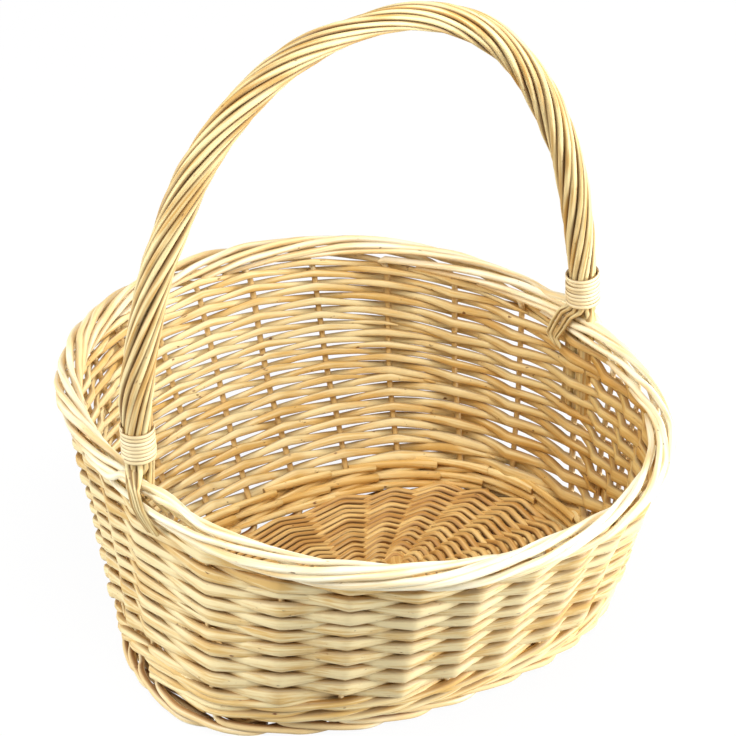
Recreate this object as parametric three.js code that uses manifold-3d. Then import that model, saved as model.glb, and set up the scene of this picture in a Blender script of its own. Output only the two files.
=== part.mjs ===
// Woven willow gift basket with a fixed hoop handle.
// Millimetres, +Z up. The origin is the centre of the oval, on the surface that the foot stands on.
import * as THREE from 'three';
import { mergeVertices } from 'three/addons/utils/BufferGeometryUtils.js';
import Module from 'manifold-3d';

// Oval wall, measured on the line of the stakes. The foot is squarer than the rim, and not quite under it.
const FOOT_HALF_LENGTH = 101;
const FOOT_HALF_WIDTH = 146;
const FOOT_SQUARENESS = 2.5;
const FOOT_CENTRE_X = 3;
const FOOT_CENTRE_Y = 2.5;
const RIM_HALF_LENGTH = 189;
const RIM_HALF_WIDTH = 159;
const RIM_SQUARENESS = 2.2;
const RIM_HEIGHT = 150;

// Willow rods
const STAKES = 29;
const STAKES_ON_FRONT_HALF = 14;
const STAKE_HALF_THICKNESS = 1.7;
const WEAVER_RADIUS = 2.1;
const ROD_GAP = 0.3;

// Rows of weaving
const ROW_GAP = 0.34;
const TURNS_PER_WEAVER = 4;
const SPLICE_AT = 0.35;
const SPLICE_GAP = 0.5;
const WALE_ROUNDS = 2;
const WALE_RODS = 3;
const WALE_STEP_UP_SPANS = 3;
const SLOT_OVER_FOOT = 3;

// Rolled border on top and foot border below
const BORDER_COIL_RADIUS = 5.5;
const BORDER_START_ANGLE = -25;
const BORDER_ANGLE_PER_SPAN = 58;
const BORDER_SPANS = 4.3;
const BORDER_NECK = 7;
const BORDER_PARTED_LIFT = 8.5;
const FOOT_SPANS = 2.8;
const FOOT_SWING = 3.6;
const FOOT_ROD_PITCH = 5.2;

// Base
const LONG_STICKS = 3;
const CROSS_STICKS = 5;
const STICK_RADIUS = 2;
const STICK_SPACING = 8;
const CROSS_STICK_SPACING = 14;
const STICK_TIP_INSET = 5.4;
const BASE_LAPS = 6;
const BASE_WEAVERS = 2;
const FIRST_BASE_ROW = 0.95;
const BASE_WEAVER_HALF_WIDTH = 2.4;
const BASE_WEAVER_HALF_DEPTH = 1.5;

// Handle
const HANDLE_RISE = 251;
const FRONT_SQUARENESS = 2.32;
const BACK_SQUARENESS = 2.24;
const THICKNESS_ALONG_HANDLE = [1, 1, 1.04, 1, 0.78, 0.96, 1, 0.95, 0.92];
const BOW_RADIUS = 4;
const BOW_END_RADIUS = 2;
const BUTT_RADIUS = 1.9;
const BUTT_LENGTH = 58;
const ROPING_RODS = 8;
const ROPING_RADIUS = 2.4;
const ROPING_CLEARANCE = 0.75;
const ROPING_PLACES_TURNED = 21;
const TAIL_RADIUS = 1.5;
const TAIL_DROP = 17;
const TAIL_SWEEP = 24;
const TAIL_FAN = 8.5;
const ARCH_STEPS = 34;
const BINDING_WRAPS = 8;
const BINDING_PITCH = 2.5;
const BINDING_HALF_WIDTH = 1;
const BINDING_ABOVE_BORDER = 8.5;
const BINDING_STEPS_PER_WRAP = 12;
const BINDING_CLEARANCE = 0.75;

const UP = new THREE.Vector3(0, 0, 1);
const basket = new THREE.Group();

const willow = (color, roughness) => new THREE.MeshStandardMaterial({ color, roughness, metalness: 0 });
const buffWillow = willow(0xe2c088, 0.55);
const paleWillow = willow(0xeed9ac, 0.5);
const baseWillow = willow(0xc9a061, 0.65);
const skein = willow(0xe8cf9b, 0.45);

function addPiece(name, geometry, material) {
  const mesh = new THREE.Mesh(geometry, material);
  mesh.name = name;
  basket.add(mesh);
}

const twoDigits = (number) => String(number).padStart(2, '0');

// A rod through a row of places. Each place has its centre, the way its face looks, and its
// half sizes: across that face and along it. On the ground its underside is worn flat.
function rodGeometry(places, sides, firstCorner) {
  const positions = [];
  places.forEach((place, i) => {
    const before = places[Math.max(i - 1, 0)].at;
    const after = places[Math.min(i + 1, places.length - 1)].at;
    const arriving = place.at.clone().sub(before).normalize();
    const leaving = after.clone().sub(place.at).normalize();
    const direction = arriving.clone().add(leaving).normalize();
    const out = place.face.clone().addScaledVector(direction, -place.face.dot(direction)).normalize();
    const side = new THREE.Vector3().crossVectors(direction, out);
    const bend = leaving.clone().sub(arriving);
    const isBent = bend.length() > 0.02 && i > 0 && i < places.length - 1;
    const stretch = isBent ? Math.min(1 / leaving.dot(direction), 1.35) - 1 : 0;
    bend.normalize();
    for (let j = 0; j < sides; j += 1) {
      const turn = firstCorner + j * 2 * Math.PI / sides;
      const corner = out.clone().multiplyScalar(place.deep * Math.cos(turn));
      corner.addScaledVector(side, place.wide * Math.sin(turn));
      corner.addScaledVector(bend, corner.dot(bend) * stretch);
      corner.add(place.at);
      if (place.ground && corner.z < place.at.z) corner.z = 0;
      positions.push(corner.x, corner.y, corner.z);
    }
  });
  const indices = [];
  for (let i = 0; i < places.length - 1; i += 1) {
    for (let j = 0; j < sides; j += 1) {
      const a = i * sides + j;
      const b = i * sides + (j + 1) % sides;
      indices.push(a, b, b + sides, a, b + sides, a + sides);
    }
  }
  const last = (places.length - 1) * sides;
  for (let j = 1; j < sides - 1; j += 1) {
    indices.push(0, j + 1, j);
    indices.push(last, last + j, last + j + 1);
  }
  const geometry = new THREE.BufferGeometry();
  geometry.setAttribute('position', new THREE.Float32BufferAttribute(positions, 3));
  geometry.setIndex(indices);
  geometry.computeVertexNormals();
  return geometry;
}

const SQUARE = Math.PI / 4;
const DIAMOND = 0;
const squareRod = (places) => rodGeometry(places, 4, SQUARE);
const diamondRod = (places) => rodGeometry(places, 4, DIAMOND);
const stakeCorner = STAKE_HALF_THICKNESS * Math.SQRT2;
const stakePlace = (at, face) => ({ at, face, deep: stakeCorner, wide: stakeCorner });

// The oval, and where the stakes stand round it
const superPower = (value, squareness) => Math.sign(value) * Math.abs(value) ** (2 / squareness);

function ovalPoint(halfLength, halfWidth, squareness, angle) {
  const x = halfLength * superPower(Math.cos(angle), squareness);
  const y = halfWidth * superPower(Math.sin(angle), squareness);
  return new THREE.Vector3(x, y, 0);
}

// The wall is straight from the foot's oval up to the rim's
const footCentre = new THREE.Vector3(FOOT_CENTRE_X, FOOT_CENTRE_Y, 0);

function wallAt(angle, height, inset) {
  const foot = ovalPoint(FOOT_HALF_LENGTH - inset, FOOT_HALF_WIDTH - inset, FOOT_SQUARENESS, angle);
  const rim = ovalPoint(RIM_HALF_LENGTH - inset, RIM_HALF_WIDTH - inset, RIM_SQUARENESS, angle);
  const point = foot.add(footCentre).lerp(rim, height / RIM_HEIGHT);
  point.z = height;
  return point;
}

const OVAL_SAMPLES = 720;
const rimArc = [0];
for (let i = 1; i <= OVAL_SAMPLES; i += 1) {
  const angleAt = (sample) => -Math.PI / 2 + sample * 2 * Math.PI / OVAL_SAMPLES;
  const from = wallAt(angleAt(i - 1), RIM_HEIGHT, 0);
  const to = wallAt(angleAt(i), RIM_HEIGHT, 0);
  rimArc.push(rimArc[i - 1] + from.distanceTo(to));
}

// Stakes are numbered from the handle's foot at -Y, and a station is a stake's number with a fraction
function stationAngle(station) {
  const lap = Math.floor(station / STAKES);
  const local = station - lap * STAKES;
  const onFront = local / STAKES_ON_FRONT_HALF / 2;
  const onBack = 0.5 + (local - STAKES_ON_FRONT_HALF) / (STAKES - STAKES_ON_FRONT_HALF) / 2;
  const length = rimArc[OVAL_SAMPLES] * (local < STAKES_ON_FRONT_HALF ? onFront : onBack);
  let sample = 1;
  while (sample < OVAL_SAMPLES && rimArc[sample] < length) sample += 1;
  const within = (length - rimArc[sample - 1]) / (rimArc[sample] - rimArc[sample - 1]);
  return -Math.PI / 2 + (sample - 1 + within) * 2 * Math.PI / OVAL_SAMPLES;
}

const wallPoint = (station, height) => wallAt(stationAngle(station), height, 0);

// Out is square to the sloping wall, and level is out on the flat
function wallFrame(station, height) {
  const nearby = 0.02;
  const at = wallPoint(station, height);
  const along = wallPoint(station + nearby, height).sub(wallPoint(station - nearby, height)).normalize();
  const rise = wallPoint(station, height + 1).sub(at).normalize();
  const out = new THREE.Vector3().crossVectors(along, rise).normalize();
  const level = new THREE.Vector3().crossVectors(along, UP).normalize();
  return { at, along, rise, out, level };
}

// Upsett: rounds of three-rod wale. Each rod passes outside two stakes, low and then high, and inside one.
const weaverOffset = stakeCorner + WEAVER_RADIUS + 1.5 * ROD_GAP;
const waleHalfStep = WEAVER_RADIUS + 0.2;
const waleRoundHeight = 4 * waleHalfStep;
const waleBottom = 2 * STAKE_HALF_THICKNESS + FOOT_ROD_PITCH + SLOT_OVER_FOOT;
const waleFirstCentre = waleBottom + waleHalfStep + WEAVER_RADIUS;
const waleTop = waleFirstCentre + (WALE_ROUNDS - 1) * waleRoundHeight + waleHalfStep + WEAVER_RADIUS;

function waleHeight(crossing) {
  const round = Math.floor(crossing / STAKES);
  const local = crossing - round * STAKES;
  const stepUp = THREE.MathUtils.clamp((local - STAKES + WALE_STEP_UP_SPANS) / WALE_STEP_UP_SPANS, 0, 1);
  return waleFirstCentre + waleRoundHeight * (round + stepUp);
}

const WALE_STROKE = [
  { phase: 0, side: -1, level: 0 },
  { phase: 0.5, side: 0, level: -1 },
  { phase: 1, side: 1, level: -1 },
  { phase: 2, side: 1, level: 1 },
  { phase: 2.5, side: 0, level: 1 },
];

function wovenPlace(station, height, side, level) {
  const frame = wallFrame(station, height);
  const at = frame.at.addScaledVector(frame.out, side * weaverOffset);
  at.addScaledVector(frame.rise, level * waleHalfStep);
  return { at, face: frame.out, deep: WEAVER_RADIUS, wide: WEAVER_RADIUS };
}

const waleLastCrossing = WALE_ROUNDS * STAKES - WALE_STEP_UP_SPANS;
for (let rod = 0; rod < WALE_RODS; rod += 1) {
  const places = [];
  for (let start = -rod; start <= waleLastCrossing; start += WALE_RODS) {
    for (const { phase, side, level } of WALE_STROKE) {
      const crossing = start + phase;
      if (crossing >= 0 && crossing <= waleLastCrossing) {
        places.push(wovenPlace(crossing, waleHeight(crossing), side, level));
      }
    }
  }
  addPiece(`upsett_rod_${rod + 1}`, diamondRod(places), paleWillow);
}

// Siding: one spiral of plain weaving. The number of stakes is odd, so each row is opposite to the last.
// As many rows as the height has room for share it between the upsett and the neck of the border.
const sidingBottom = waleTop + ROD_GAP + WEAVER_RADIUS;
const sidingTop = RIM_HEIGHT - BORDER_NECK - WEAVER_RADIUS;
const sidingRows = Math.floor((sidingTop - sidingBottom) / (2 * WEAVER_RADIUS + ROW_GAP) + 1 / STAKES);
const rowPitch = (sidingTop - sidingBottom) / (sidingRows - 1 / STAKES);

function sidingPlace(crossing, shift = 0) {
  const height = sidingBottom + rowPitch * (crossing + shift) / STAKES;
  const side = crossing % 2 === 0 ? 1 : -1;
  return wovenPlace(crossing + shift, height, side, 0);
}

// The handle's butts stand on both sides of its stake, and the weaver takes all three in one stroke
const handleStakes = [0, STAKES_ON_FRONT_HALF];
const rimSpan = wallPoint(0, RIM_HEIGHT).distanceTo(wallPoint(1, RIM_HEIGHT));
const buttBeside = STAKE_HALF_THICKNESS + 1.5 * ROD_GAP + BUTT_RADIUS;

function buttStation(handleStake, towards, height) {
  const span = wallPoint(handleStake, height).distanceTo(wallPoint(handleStake + towards, height));
  return handleStake + towards * buttBeside / span;
}

function sidingPlaces(crossing) {
  const { at } = sidingPlace(crossing);
  const meetsButts = handleStakes.includes(crossing % STAKES) && at.z > RIM_HEIGHT - BUTT_LENGTH - rowPitch;
  if (!meetsButts) return [sidingPlace(crossing)];
  const stake = crossing % STAKES;
  return [-1, 1].map((towards) => sidingPlace(crossing, buttStation(stake, towards, at.z) - stake));
}

function betweenCrossings(crossing, share) {
  const place = sidingPlace(crossing);
  place.at.lerp(sidingPlace(crossing + 1).at, share);
  return place;
}

const crossingsPerWeaver = TURNS_PER_WEAVER * STAKES;
const sidingCrossings = sidingRows * STAKES - 1;
const spanLength = sidingPlace(0).at.distanceTo(sidingPlace(1).at);
for (let first = 0, number = 1; first < sidingCrossings; first += crossingsPerWeaver, number += 1) {
  const last = Math.min(first + crossingsPerWeaver, sidingCrossings);
  const places = [];
  places.push(first === 0 ? sidingPlace(0) : betweenCrossings(first, SPLICE_AT + SPLICE_GAP / spanLength));
  for (let crossing = first + 1; crossing <= last; crossing += 1) {
    places.push(...sidingPlaces(crossing));
  }
  if (last < sidingCrossings) places.push(betweenCrossings(last, SPLICE_AT));
  addPiece(`siding_weaver_${twoDigits(number)}`, diamondRod(places), number % 2 ? buffWillow : paleWillow);
}

// Stakes: each rises from its own stroke of the foot border and lies down in the rolled border.
// A stroke is placed by spans along the wall, by the offset out, and by the height.
const footLevel = STAKE_HALF_THICKNESS;
const FOOT_STROKE = [
  { spans: FOOT_SPANS, out: -FOOT_SWING, height: footLevel, ground: true },
  { spans: FOOT_SPANS - 0.8, out: -FOOT_SWING * 0.45, height: footLevel, ground: true },
  { spans: FOOT_SPANS - 1.2, out: FOOT_SWING * 0.85, height: footLevel, ground: true },
  { spans: 1.1, out: FOOT_SWING, height: footLevel + FOOT_ROD_PITCH * 0.5 },
  { spans: 0.5, out: FOOT_SWING, height: footLevel + FOOT_ROD_PITCH * 1.1 },
  { spans: 0.16, out: FOOT_SWING * 0.8, height: footLevel + FOOT_ROD_PITCH * 1.45 },
];

function strokePlace(stake, spans, out, height, wallHeight) {
  const frame = wallFrame(stake + spans, wallHeight);
  const at = frame.at.addScaledVector(frame.level, out);
  at.z = height;
  return stakePlace(at, frame.level);
}

const borderTurn = (spans) => THREE.MathUtils.degToRad(BORDER_START_ANGLE + BORDER_ANGLE_PER_SPAN * spans);

function borderPlace(stake, spans) {
  const out = BORDER_COIL_RADIUS * Math.cos(borderTurn(spans));
  const height = RIM_HEIGHT + BORDER_COIL_RADIUS * Math.sin(borderTurn(spans));
  return strokePlace(stake, spans, out, height, RIM_HEIGHT);
}

// The stroke that would lie over a foot of the handle parts to its outer side and rides up on the next one
const partedOut = STAKE_HALF_THICKNESS + BOW_END_RADIUS + 3 * ROD_GAP;
const PARTED_STROKE = [
  { spans: 1.83, out: partedOut, lift: BORDER_PARTED_LIFT * 0.93 },
  { spans: 2.17, out: partedOut, lift: BORDER_PARTED_LIFT },
  { spans: 2.33, out: partedOut * 0.36, lift: BORDER_PARTED_LIFT * 1.07 },
  { spans: 2.5, out: -partedOut * 0.36, lift: BORDER_PARTED_LIFT * 0.91 },
];

function borderStroke(stake) {
  const places = [];
  const isParted = handleStakes.includes((stake + 2) % STAKES);
  for (let spans = 0.5; spans < BORDER_SPANS; spans += 0.5) {
    if (isParted && spans === 2) {
      places.push(...PARTED_STROKE.map((step) => (
        strokePlace(stake, step.spans, step.out, RIM_HEIGHT + step.lift, RIM_HEIGHT)
      )));
    }
    if (!isParted || spans < 2 || spans > 2.5) places.push(borderPlace(stake, spans));
  }
  places.push(borderPlace(stake, BORDER_SPANS));
  return places;
}

for (let stake = 0; stake < STAKES; stake += 1) {
  const places = FOOT_STROKE.map(({ spans, out, height, ground }) => (
    { ...strokePlace(stake, spans, out, height, 0), ground }
  ));
  const neckHeight = RIM_HEIGHT - BORDER_NECK;
  const foot = wallFrame(stake, waleBottom);
  const neck = wallFrame(stake, neckHeight);
  places.push(stakePlace(foot.at, foot.out));
  places.push(stakePlace(neck.at, neck.out));
  const besideHandle = handleStakes.includes(stake);
  const bendOut = BORDER_COIL_RADIUS * (besideHandle ? 0.85 : 0.3);
  const bendAt = besideHandle ? 0.03 : 0.12;
  places.push(strokePlace(stake, bendAt, bendOut, neckHeight + BORDER_NECK * 0.2, RIM_HEIGHT));
  places.push(...borderStroke(stake));
  addPiece(`stake_${twoDigits(stake + 1)}`, squareRod(places), paleWillow);
}

// Base: sticks threaded through each other in the middle and spread to the wall
const baseLevel = waleFirstCentre - WEAVER_RADIUS - STICK_RADIUS - 0.5;
const stickEnds = [];

function spreadAngle(x, y) {
  return Math.atan2(y / FOOT_HALF_WIDTH, x / FOOT_HALF_LENGTH);
}

const stickTip = (angle) => wallAt(angle, baseLevel, STICK_TIP_INSET);

const slathHalfLength = (CROSS_STICKS - 1) / 2 * CROSS_STICK_SPACING + STICK_SPACING;
const slathHalfWidth = (LONG_STICKS - 1) / 2 * STICK_SPACING + STICK_SPACING;
const stickEndCount = 2 * (LONG_STICKS + CROSS_STICKS);
const tipAngle = (index) => 2 * Math.PI * index / stickEndCount;

function stickPlaces(nearKnee, nearTip, farKnee, farTip) {
  return [nearTip, nearKnee, farKnee, farTip].map((at) => (
    { at, face: UP, deep: STICK_RADIUS, wide: STICK_RADIUS }
  ));
}

// Long sticks run along Y and cross sticks along X. Tips share the oval out evenly.
const STICK_SIDES = 6;
const sticks = [];
for (let i = 0; i < LONG_STICKS; i += 1) {
  const x = (i - (LONG_STICKS - 1) / 2) * STICK_SPACING;
  const turnFromY = -(i - (LONG_STICKS - 1) / 2) * 2 * Math.PI / stickEndCount;
  const front = { knee: new THREE.Vector3(x, -slathHalfLength, baseLevel), angle: -Math.PI / 2 - turnFromY };
  const back = { knee: new THREE.Vector3(x, slathHalfLength, baseLevel), angle: Math.PI / 2 + turnFromY };
  stickEnds.push(front, back);
  sticks.push(stickPlaces(front.knee, stickTip(front.angle), back.knee, stickTip(back.angle)));
}
for (let i = 0; i < CROSS_STICKS; i += 1) {
  const y = (i - (CROSS_STICKS - 1) / 2) * CROSS_STICK_SPACING;
  const turnFromX = (i - (CROSS_STICKS - 1) / 2) * 2 * Math.PI / stickEndCount;
  const right = { knee: new THREE.Vector3(slathHalfWidth, y, baseLevel), angle: turnFromX };
  const left = { knee: new THREE.Vector3(-slathHalfWidth, y, baseLevel), angle: Math.PI - turnFromX };
  stickEnds.push(right, left);
  sticks.push(stickPlaces(right.knee, stickTip(right.angle), left.knee, stickTip(left.angle)));
}

const wasm = await Module();
wasm.setup();

function toSolid(geometry) {
  const bare = geometry.clone();
  bare.deleteAttribute('normal');
  bare.deleteAttribute('uv');
  const merged = mergeVertices(bare);
  const vertProperties = new Float32Array(merged.attributes.position.array);
  const triVerts = new Uint32Array(merged.index.array);
  return new wasm.Manifold(new wasm.Mesh({ numProp: 3, vertProperties, triVerts }));
}

function fromSolid(solid) {
  const mesh = solid.getMesh();
  const geometry = new THREE.BufferGeometry();
  geometry.setAttribute('position', new THREE.BufferAttribute(new Float32Array(mesh.vertProperties), 3));
  geometry.setIndex(new THREE.BufferAttribute(new Uint32Array(mesh.triVerts), 1));
  geometry.computeVertexNormals();
  return geometry;
}

const stickSolids = sticks.map((places) => toSolid(rodGeometry(places, STICK_SIDES, 0)));
const slath = stickSolids.reduce((joined, solid) => joined.add(solid));
addPiece('base_sticks', fromSolid(slath), baseWillow);

// Base weaving: two rods chase each other round the stick ends, one over while the other is under
stickEnds.sort((a, b) => spreadAngle(a.knee.x, a.knee.y) - spreadAngle(b.knee.x, b.knee.y));
const outerInset = weaverOffset + WEAVER_RADIUS + BASE_WEAVER_HALF_WIDTH + 1;
const baseOffset = STICK_RADIUS + BASE_WEAVER_HALF_DEPTH + ROD_GAP;

function baseWeaverPlace(crossing, weaver) {
  const end = stickEnds[crossing % stickEndCount];
  const tip = stickTip(end.angle);
  const reach = tip.distanceTo(end.knee) - outerInset + STICK_TIP_INSET;
  const row = FIRST_BASE_ROW + crossing / stickEndCount;
  const laid = (row + weaver / BASE_WEAVERS) / (FIRST_BASE_ROW + BASE_LAPS + 0.5);
  const at = end.knee.clone().lerp(tip, laid * reach / tip.distanceTo(end.knee));
  const over = (crossing + weaver) % 2 === 0 ? 1 : -1;
  at.z = baseLevel + over * baseOffset;
  return { at, face: UP, deep: BASE_WEAVER_HALF_DEPTH, wide: BASE_WEAVER_HALF_WIDTH };
}

for (let weaver = 0; weaver < BASE_WEAVERS; weaver += 1) {
  const places = [];
  const crossings = BASE_LAPS * stickEndCount;
  for (let crossing = 0; crossing <= crossings; crossing += 1) {
    places.push(baseWeaverPlace(crossing, weaver));
  }
  addPiece(`base_weaver_${weaver + 1}`, diamondRod(places), baseWillow);
}

// Handle: a bow over the two handle stakes, whose ends go down between the strokes of the border
const borderReach = BORDER_COIL_RADIUS + stakeCorner;
const handleHalfSpan = RIM_HALF_WIDTH;
const borderTop = RIM_HEIGHT + borderReach;

function archPoint(turn) {
  const squareness = turn < Math.PI / 2 ? FRONT_SQUARENESS : BACK_SQUARENESS;
  const y = -handleHalfSpan * superPower(Math.cos(turn), squareness);
  const z = RIM_HEIGHT + HANDLE_RISE * superPower(Math.sin(turn), squareness);
  return new THREE.Vector3(0, y, z);
}

const ARCH_SAMPLES = 600;
const archArc = [0];
for (let i = 1; i <= ARCH_SAMPLES; i += 1) {
  const from = archPoint(Math.PI * (i - 1) / ARCH_SAMPLES);
  const to = archPoint(Math.PI * i / ARCH_SAMPLES);
  archArc.push(archArc[i - 1] + from.distanceTo(to));
}
const archLength = archArc[ARCH_SAMPLES];

// Distance is measured along the arch from its -Y end, and the face looks out of the arch
function archFrame(distance) {
  const wanted = THREE.MathUtils.clamp(distance, 0, archLength);
  let sample = 1;
  while (sample < ARCH_SAMPLES && archArc[sample] < wanted) sample += 1;
  const within = (wanted - archArc[sample - 1]) / (archArc[sample] - archArc[sample - 1]);
  const turn = Math.PI * (sample - 1 + within) / ARCH_SAMPLES;
  const nearby = 0.002;
  const at = archPoint(turn);
  const ahead = archPoint(Math.min(turn + nearby, Math.PI));
  const behind = archPoint(Math.max(turn - nearby, 0));
  const along = ahead.sub(behind).normalize();
  const out = new THREE.Vector3(0, -along.z, along.y);
  return { at, along, out };
}

const bindingStart = borderTop - RIM_HEIGHT + BINDING_ABOVE_BORDER;
const bindingLength = BINDING_WRAPS * BINDING_PITCH;
const ropeStart = bindingStart - BINDING_ABOVE_BORDER * 0.4;
const twistStart = bindingStart + bindingLength;

// The handle is thinner at the top, where the tips of its rods lie
function handleThickness(distance) {
  const place = THREE.MathUtils.clamp(distance / archLength, 0, 1) * (THICKNESS_ALONG_HANDLE.length - 1);
  const before = Math.min(Math.floor(place), THICKNESS_ALONG_HANDLE.length - 2);
  const [from, to] = THICKNESS_ALONG_HANDLE.slice(before, before + 2);
  return THREE.MathUtils.lerp(from, to, place - before);
}

function bowEnds(towards) {
  const places = [];
  for (const distance of [ROD_GAP - BORDER_NECK / 2, ropeStart]) {
    const frame = archFrame(towards > 0 ? Math.max(distance, 0) : archLength - Math.max(distance, 0));
    const at = frame.at.clone();
    at.z += Math.min(distance, 0);
    places.push({ at, face: frame.out, deep: BOW_END_RADIUS, wide: BOW_END_RADIUS });
  }
  return towards > 0 ? places : places.reverse();
}

const BOW_SIDES = 6;
const bowPlaces = bowEnds(1);
for (let step = 0; step <= ARCH_STEPS; step += 1) {
  const distance = THREE.MathUtils.lerp(bindingStart, archLength - bindingStart, step / ARCH_STEPS);
  const frame = archFrame(distance);
  const radius = BOW_RADIUS * handleThickness(distance);
  bowPlaces.push({ at: frame.at, face: frame.out, deep: radius, wide: radius });
}
bowPlaces.push(...bowEnds(-1));
addPiece('handle_bow', rodGeometry(bowPlaces, BOW_SIDES, 0), paleWillow);

// Roping: rods wound round the bow between the two bindings, straight inside them
const ropingCentre = BOW_RADIUS + ROPING_CLEARANCE + ROPING_RADIUS;

const ROPING_TURNS = ROPING_PLACES_TURNED / ROPING_RODS;

function ropingPlace(distance, rod) {
  const frame = archFrame(distance);
  const share = THREE.MathUtils.clamp((distance - twistStart) / (archLength - 2 * twistStart), 0, 1);
  const turn = 2 * Math.PI * (rod / ROPING_RODS + ROPING_TURNS * share);
  const face = frame.out.clone().multiplyScalar(Math.cos(turn));
  face.addScaledVector(new THREE.Vector3(1, 0, 0), Math.sin(turn));
  const thickness = handleThickness(distance);
  const at = frame.at.addScaledVector(face, ropingCentre * thickness);
  return { at, face, deep: ROPING_RADIUS * thickness, wide: ROPING_RADIUS * thickness };
}

// Round each foot, the two rods at the sides go down beside the stake as butts. At the front foot the outer
// rods, and at the back foot the inner rods, end in thin tails that sweep down past the border.
function footEnd(foot, handleStake) {
  const isFront = handleStake === 0;
  const outward = foot.face.dot(wallFrame(handleStake, RIM_HEIGHT).level);
  const towards = Math.sign(foot.face.dot(wallFrame(handleStake, RIM_HEIGHT).along));
  if (Math.abs(outward) < 0.2) {
    const butt = (height) => {
      const frame = wallFrame(buttStation(handleStake, towards, height), height);
      return { at: frame.at, face: frame.out, deep: BUTT_RADIUS, wide: BUTT_RADIUS };
    };
    return [butt(borderTop), butt(RIM_HEIGHT - BUTT_LENGTH)];
  }
  const side = isFront ? 1 : -1;
  if (Math.sign(outward) !== side) return [];
  const fan = towards * TAIL_FAN * Math.sqrt(1 - outward * outward);
  const tail = (sweep, height) => {
    const station = handleStake + (sweep + fan) / rimSpan;
    const out = side * (borderReach + ROD_GAP + TAIL_RADIUS);
    return { ...strokePlace(station, 0, out, height, RIM_HEIGHT), deep: TAIL_RADIUS, wide: TAIL_RADIUS };
  };
  const overBorder = RIM_HEIGHT + BORDER_PARTED_LIFT + 2 * ROD_GAP;
  return [tail(TAIL_SWEEP * 0.1, overBorder), tail(TAIL_SWEEP, RIM_HEIGHT - TAIL_DROP)];
}

const ropeSteps = [];
for (let step = 0; step <= ARCH_STEPS; step += 1) {
  const distance = THREE.MathUtils.lerp(bindingStart, archLength - bindingStart, step / ARCH_STEPS);
  if (distance > twistStart && distance < archLength - twistStart) ropeSteps.push(distance);
}
for (let rod = 0; rod < ROPING_RODS; rod += 1) {
  const distances = [ropeStart, twistStart, ...ropeSteps, archLength - twistStart, archLength - ropeStart];
  const places = distances.map((distance) => ropingPlace(distance, rod));
  const frontEnd = footEnd(places[0], handleStakes[0]).reverse();
  const backEnd = footEnd(places[places.length - 1], handleStakes[1]);
  const rope = [...frontEnd, ...places, ...backEnd];
  addPiece(`handle_roping_${rod + 1}`, diamondRod(rope), rod % 2 ? paleWillow : buffWillow);
}

// Bindings: skein wound round each foot of the handle
const ropedRadius = ropingCentre + ROPING_RADIUS;
const bindingProud = BINDING_CLEARANCE + BINDING_HALF_WIDTH;

function bindingPlaces(towards) {
  const places = [];
  const steps = BINDING_WRAPS * BINDING_STEPS_PER_WRAP;
  for (let step = 0; step <= steps; step += 1) {
    const climbed = bindingStart + bindingLength * step / steps;
    const distance = towards > 0 ? climbed : archLength - climbed;
    const frame = archFrame(distance);
    const turn = 2 * Math.PI * step / BINDING_STEPS_PER_WRAP;
    const face = frame.out.clone().multiplyScalar(Math.cos(turn));
    face.addScaledVector(new THREE.Vector3(towards, 0, 0), Math.sin(turn));
    const at = frame.at.addScaledVector(face, ropedRadius * handleThickness(distance) + bindingProud);
    const corner = BINDING_HALF_WIDTH * Math.SQRT2;
    places.push({ at, face, deep: corner * 0.6, wide: corner });
  }
  return places;
}

function leastGap(places, halfWidth) {
  let least = Infinity;
  const half = BINDING_STEPS_PER_WRAP / 2;
  for (let i = 0; i < places.length; i += 1) {
    for (let j = i + half; j < places.length; j += 1) {
      least = Math.min(least, places[i].at.distanceTo(places[j].at) - 2 * halfWidth);
    }
  }
  return least;
}

const frontBinding = bindingPlaces(1);
const backBinding = bindingPlaces(-1);
addPiece('handle_binding_front', squareRod(frontBinding), skein);
addPiece('handle_binding_back', squareRod(backBinding), skein);
console.log(`least gap between wraps: ${leastGap(frontBinding, BINDING_HALF_WIDTH).toFixed(2)} mm`);

export default basket;
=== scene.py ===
# Oval willow gift basket with a fixed roped handle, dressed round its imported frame.
# Metres, +Z up. The origin is the centre of the oval, on the surface that the foot stands on.
import math

import bpy
import numpy as np
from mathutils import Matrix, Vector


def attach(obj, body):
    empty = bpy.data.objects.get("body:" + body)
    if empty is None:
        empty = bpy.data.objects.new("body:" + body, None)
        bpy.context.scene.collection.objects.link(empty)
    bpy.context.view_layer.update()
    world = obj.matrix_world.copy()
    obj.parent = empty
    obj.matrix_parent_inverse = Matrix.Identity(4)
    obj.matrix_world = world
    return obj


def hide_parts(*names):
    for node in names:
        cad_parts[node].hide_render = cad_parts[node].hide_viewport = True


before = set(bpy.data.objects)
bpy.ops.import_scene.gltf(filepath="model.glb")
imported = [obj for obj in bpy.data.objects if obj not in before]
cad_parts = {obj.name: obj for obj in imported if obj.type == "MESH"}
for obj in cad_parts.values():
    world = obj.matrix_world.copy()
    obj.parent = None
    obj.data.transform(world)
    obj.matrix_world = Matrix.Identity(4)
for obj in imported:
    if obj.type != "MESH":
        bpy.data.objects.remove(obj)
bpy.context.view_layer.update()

# Base sticks
# Twelve willow sticks, thicker than the base's weavers. Five lie along the foot and seven across them
# in one layer, wide and flat where they cross, and outside that they are bent apart like spokes.
FOOT_HALF_LENGTH = 0.101
FOOT_HALF_WIDTH = 0.146
FOOT_SQUARENESS = 2.5
FOOT_CENTRE_X = 0.003
FOOT_CENTRE_Y = 0.0025
RIM_HALF_LENGTH = 0.189
RIM_HALF_WIDTH = 0.159
RIM_SQUARENESS = 2.2
RIM_HEIGHT = 0.150
UNEVEN_CORNERS = ((-62, 0.0030), (-35, -0.0030))
UNEVEN_FOOT = ((-80, 0.0050), (-48, -0.0045))
UNEVEN_WIDTH = 14
CORNERS_KEPT_AT_RIM = 0.5
UNEVEN_FOOT_FADE = 1.5
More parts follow.
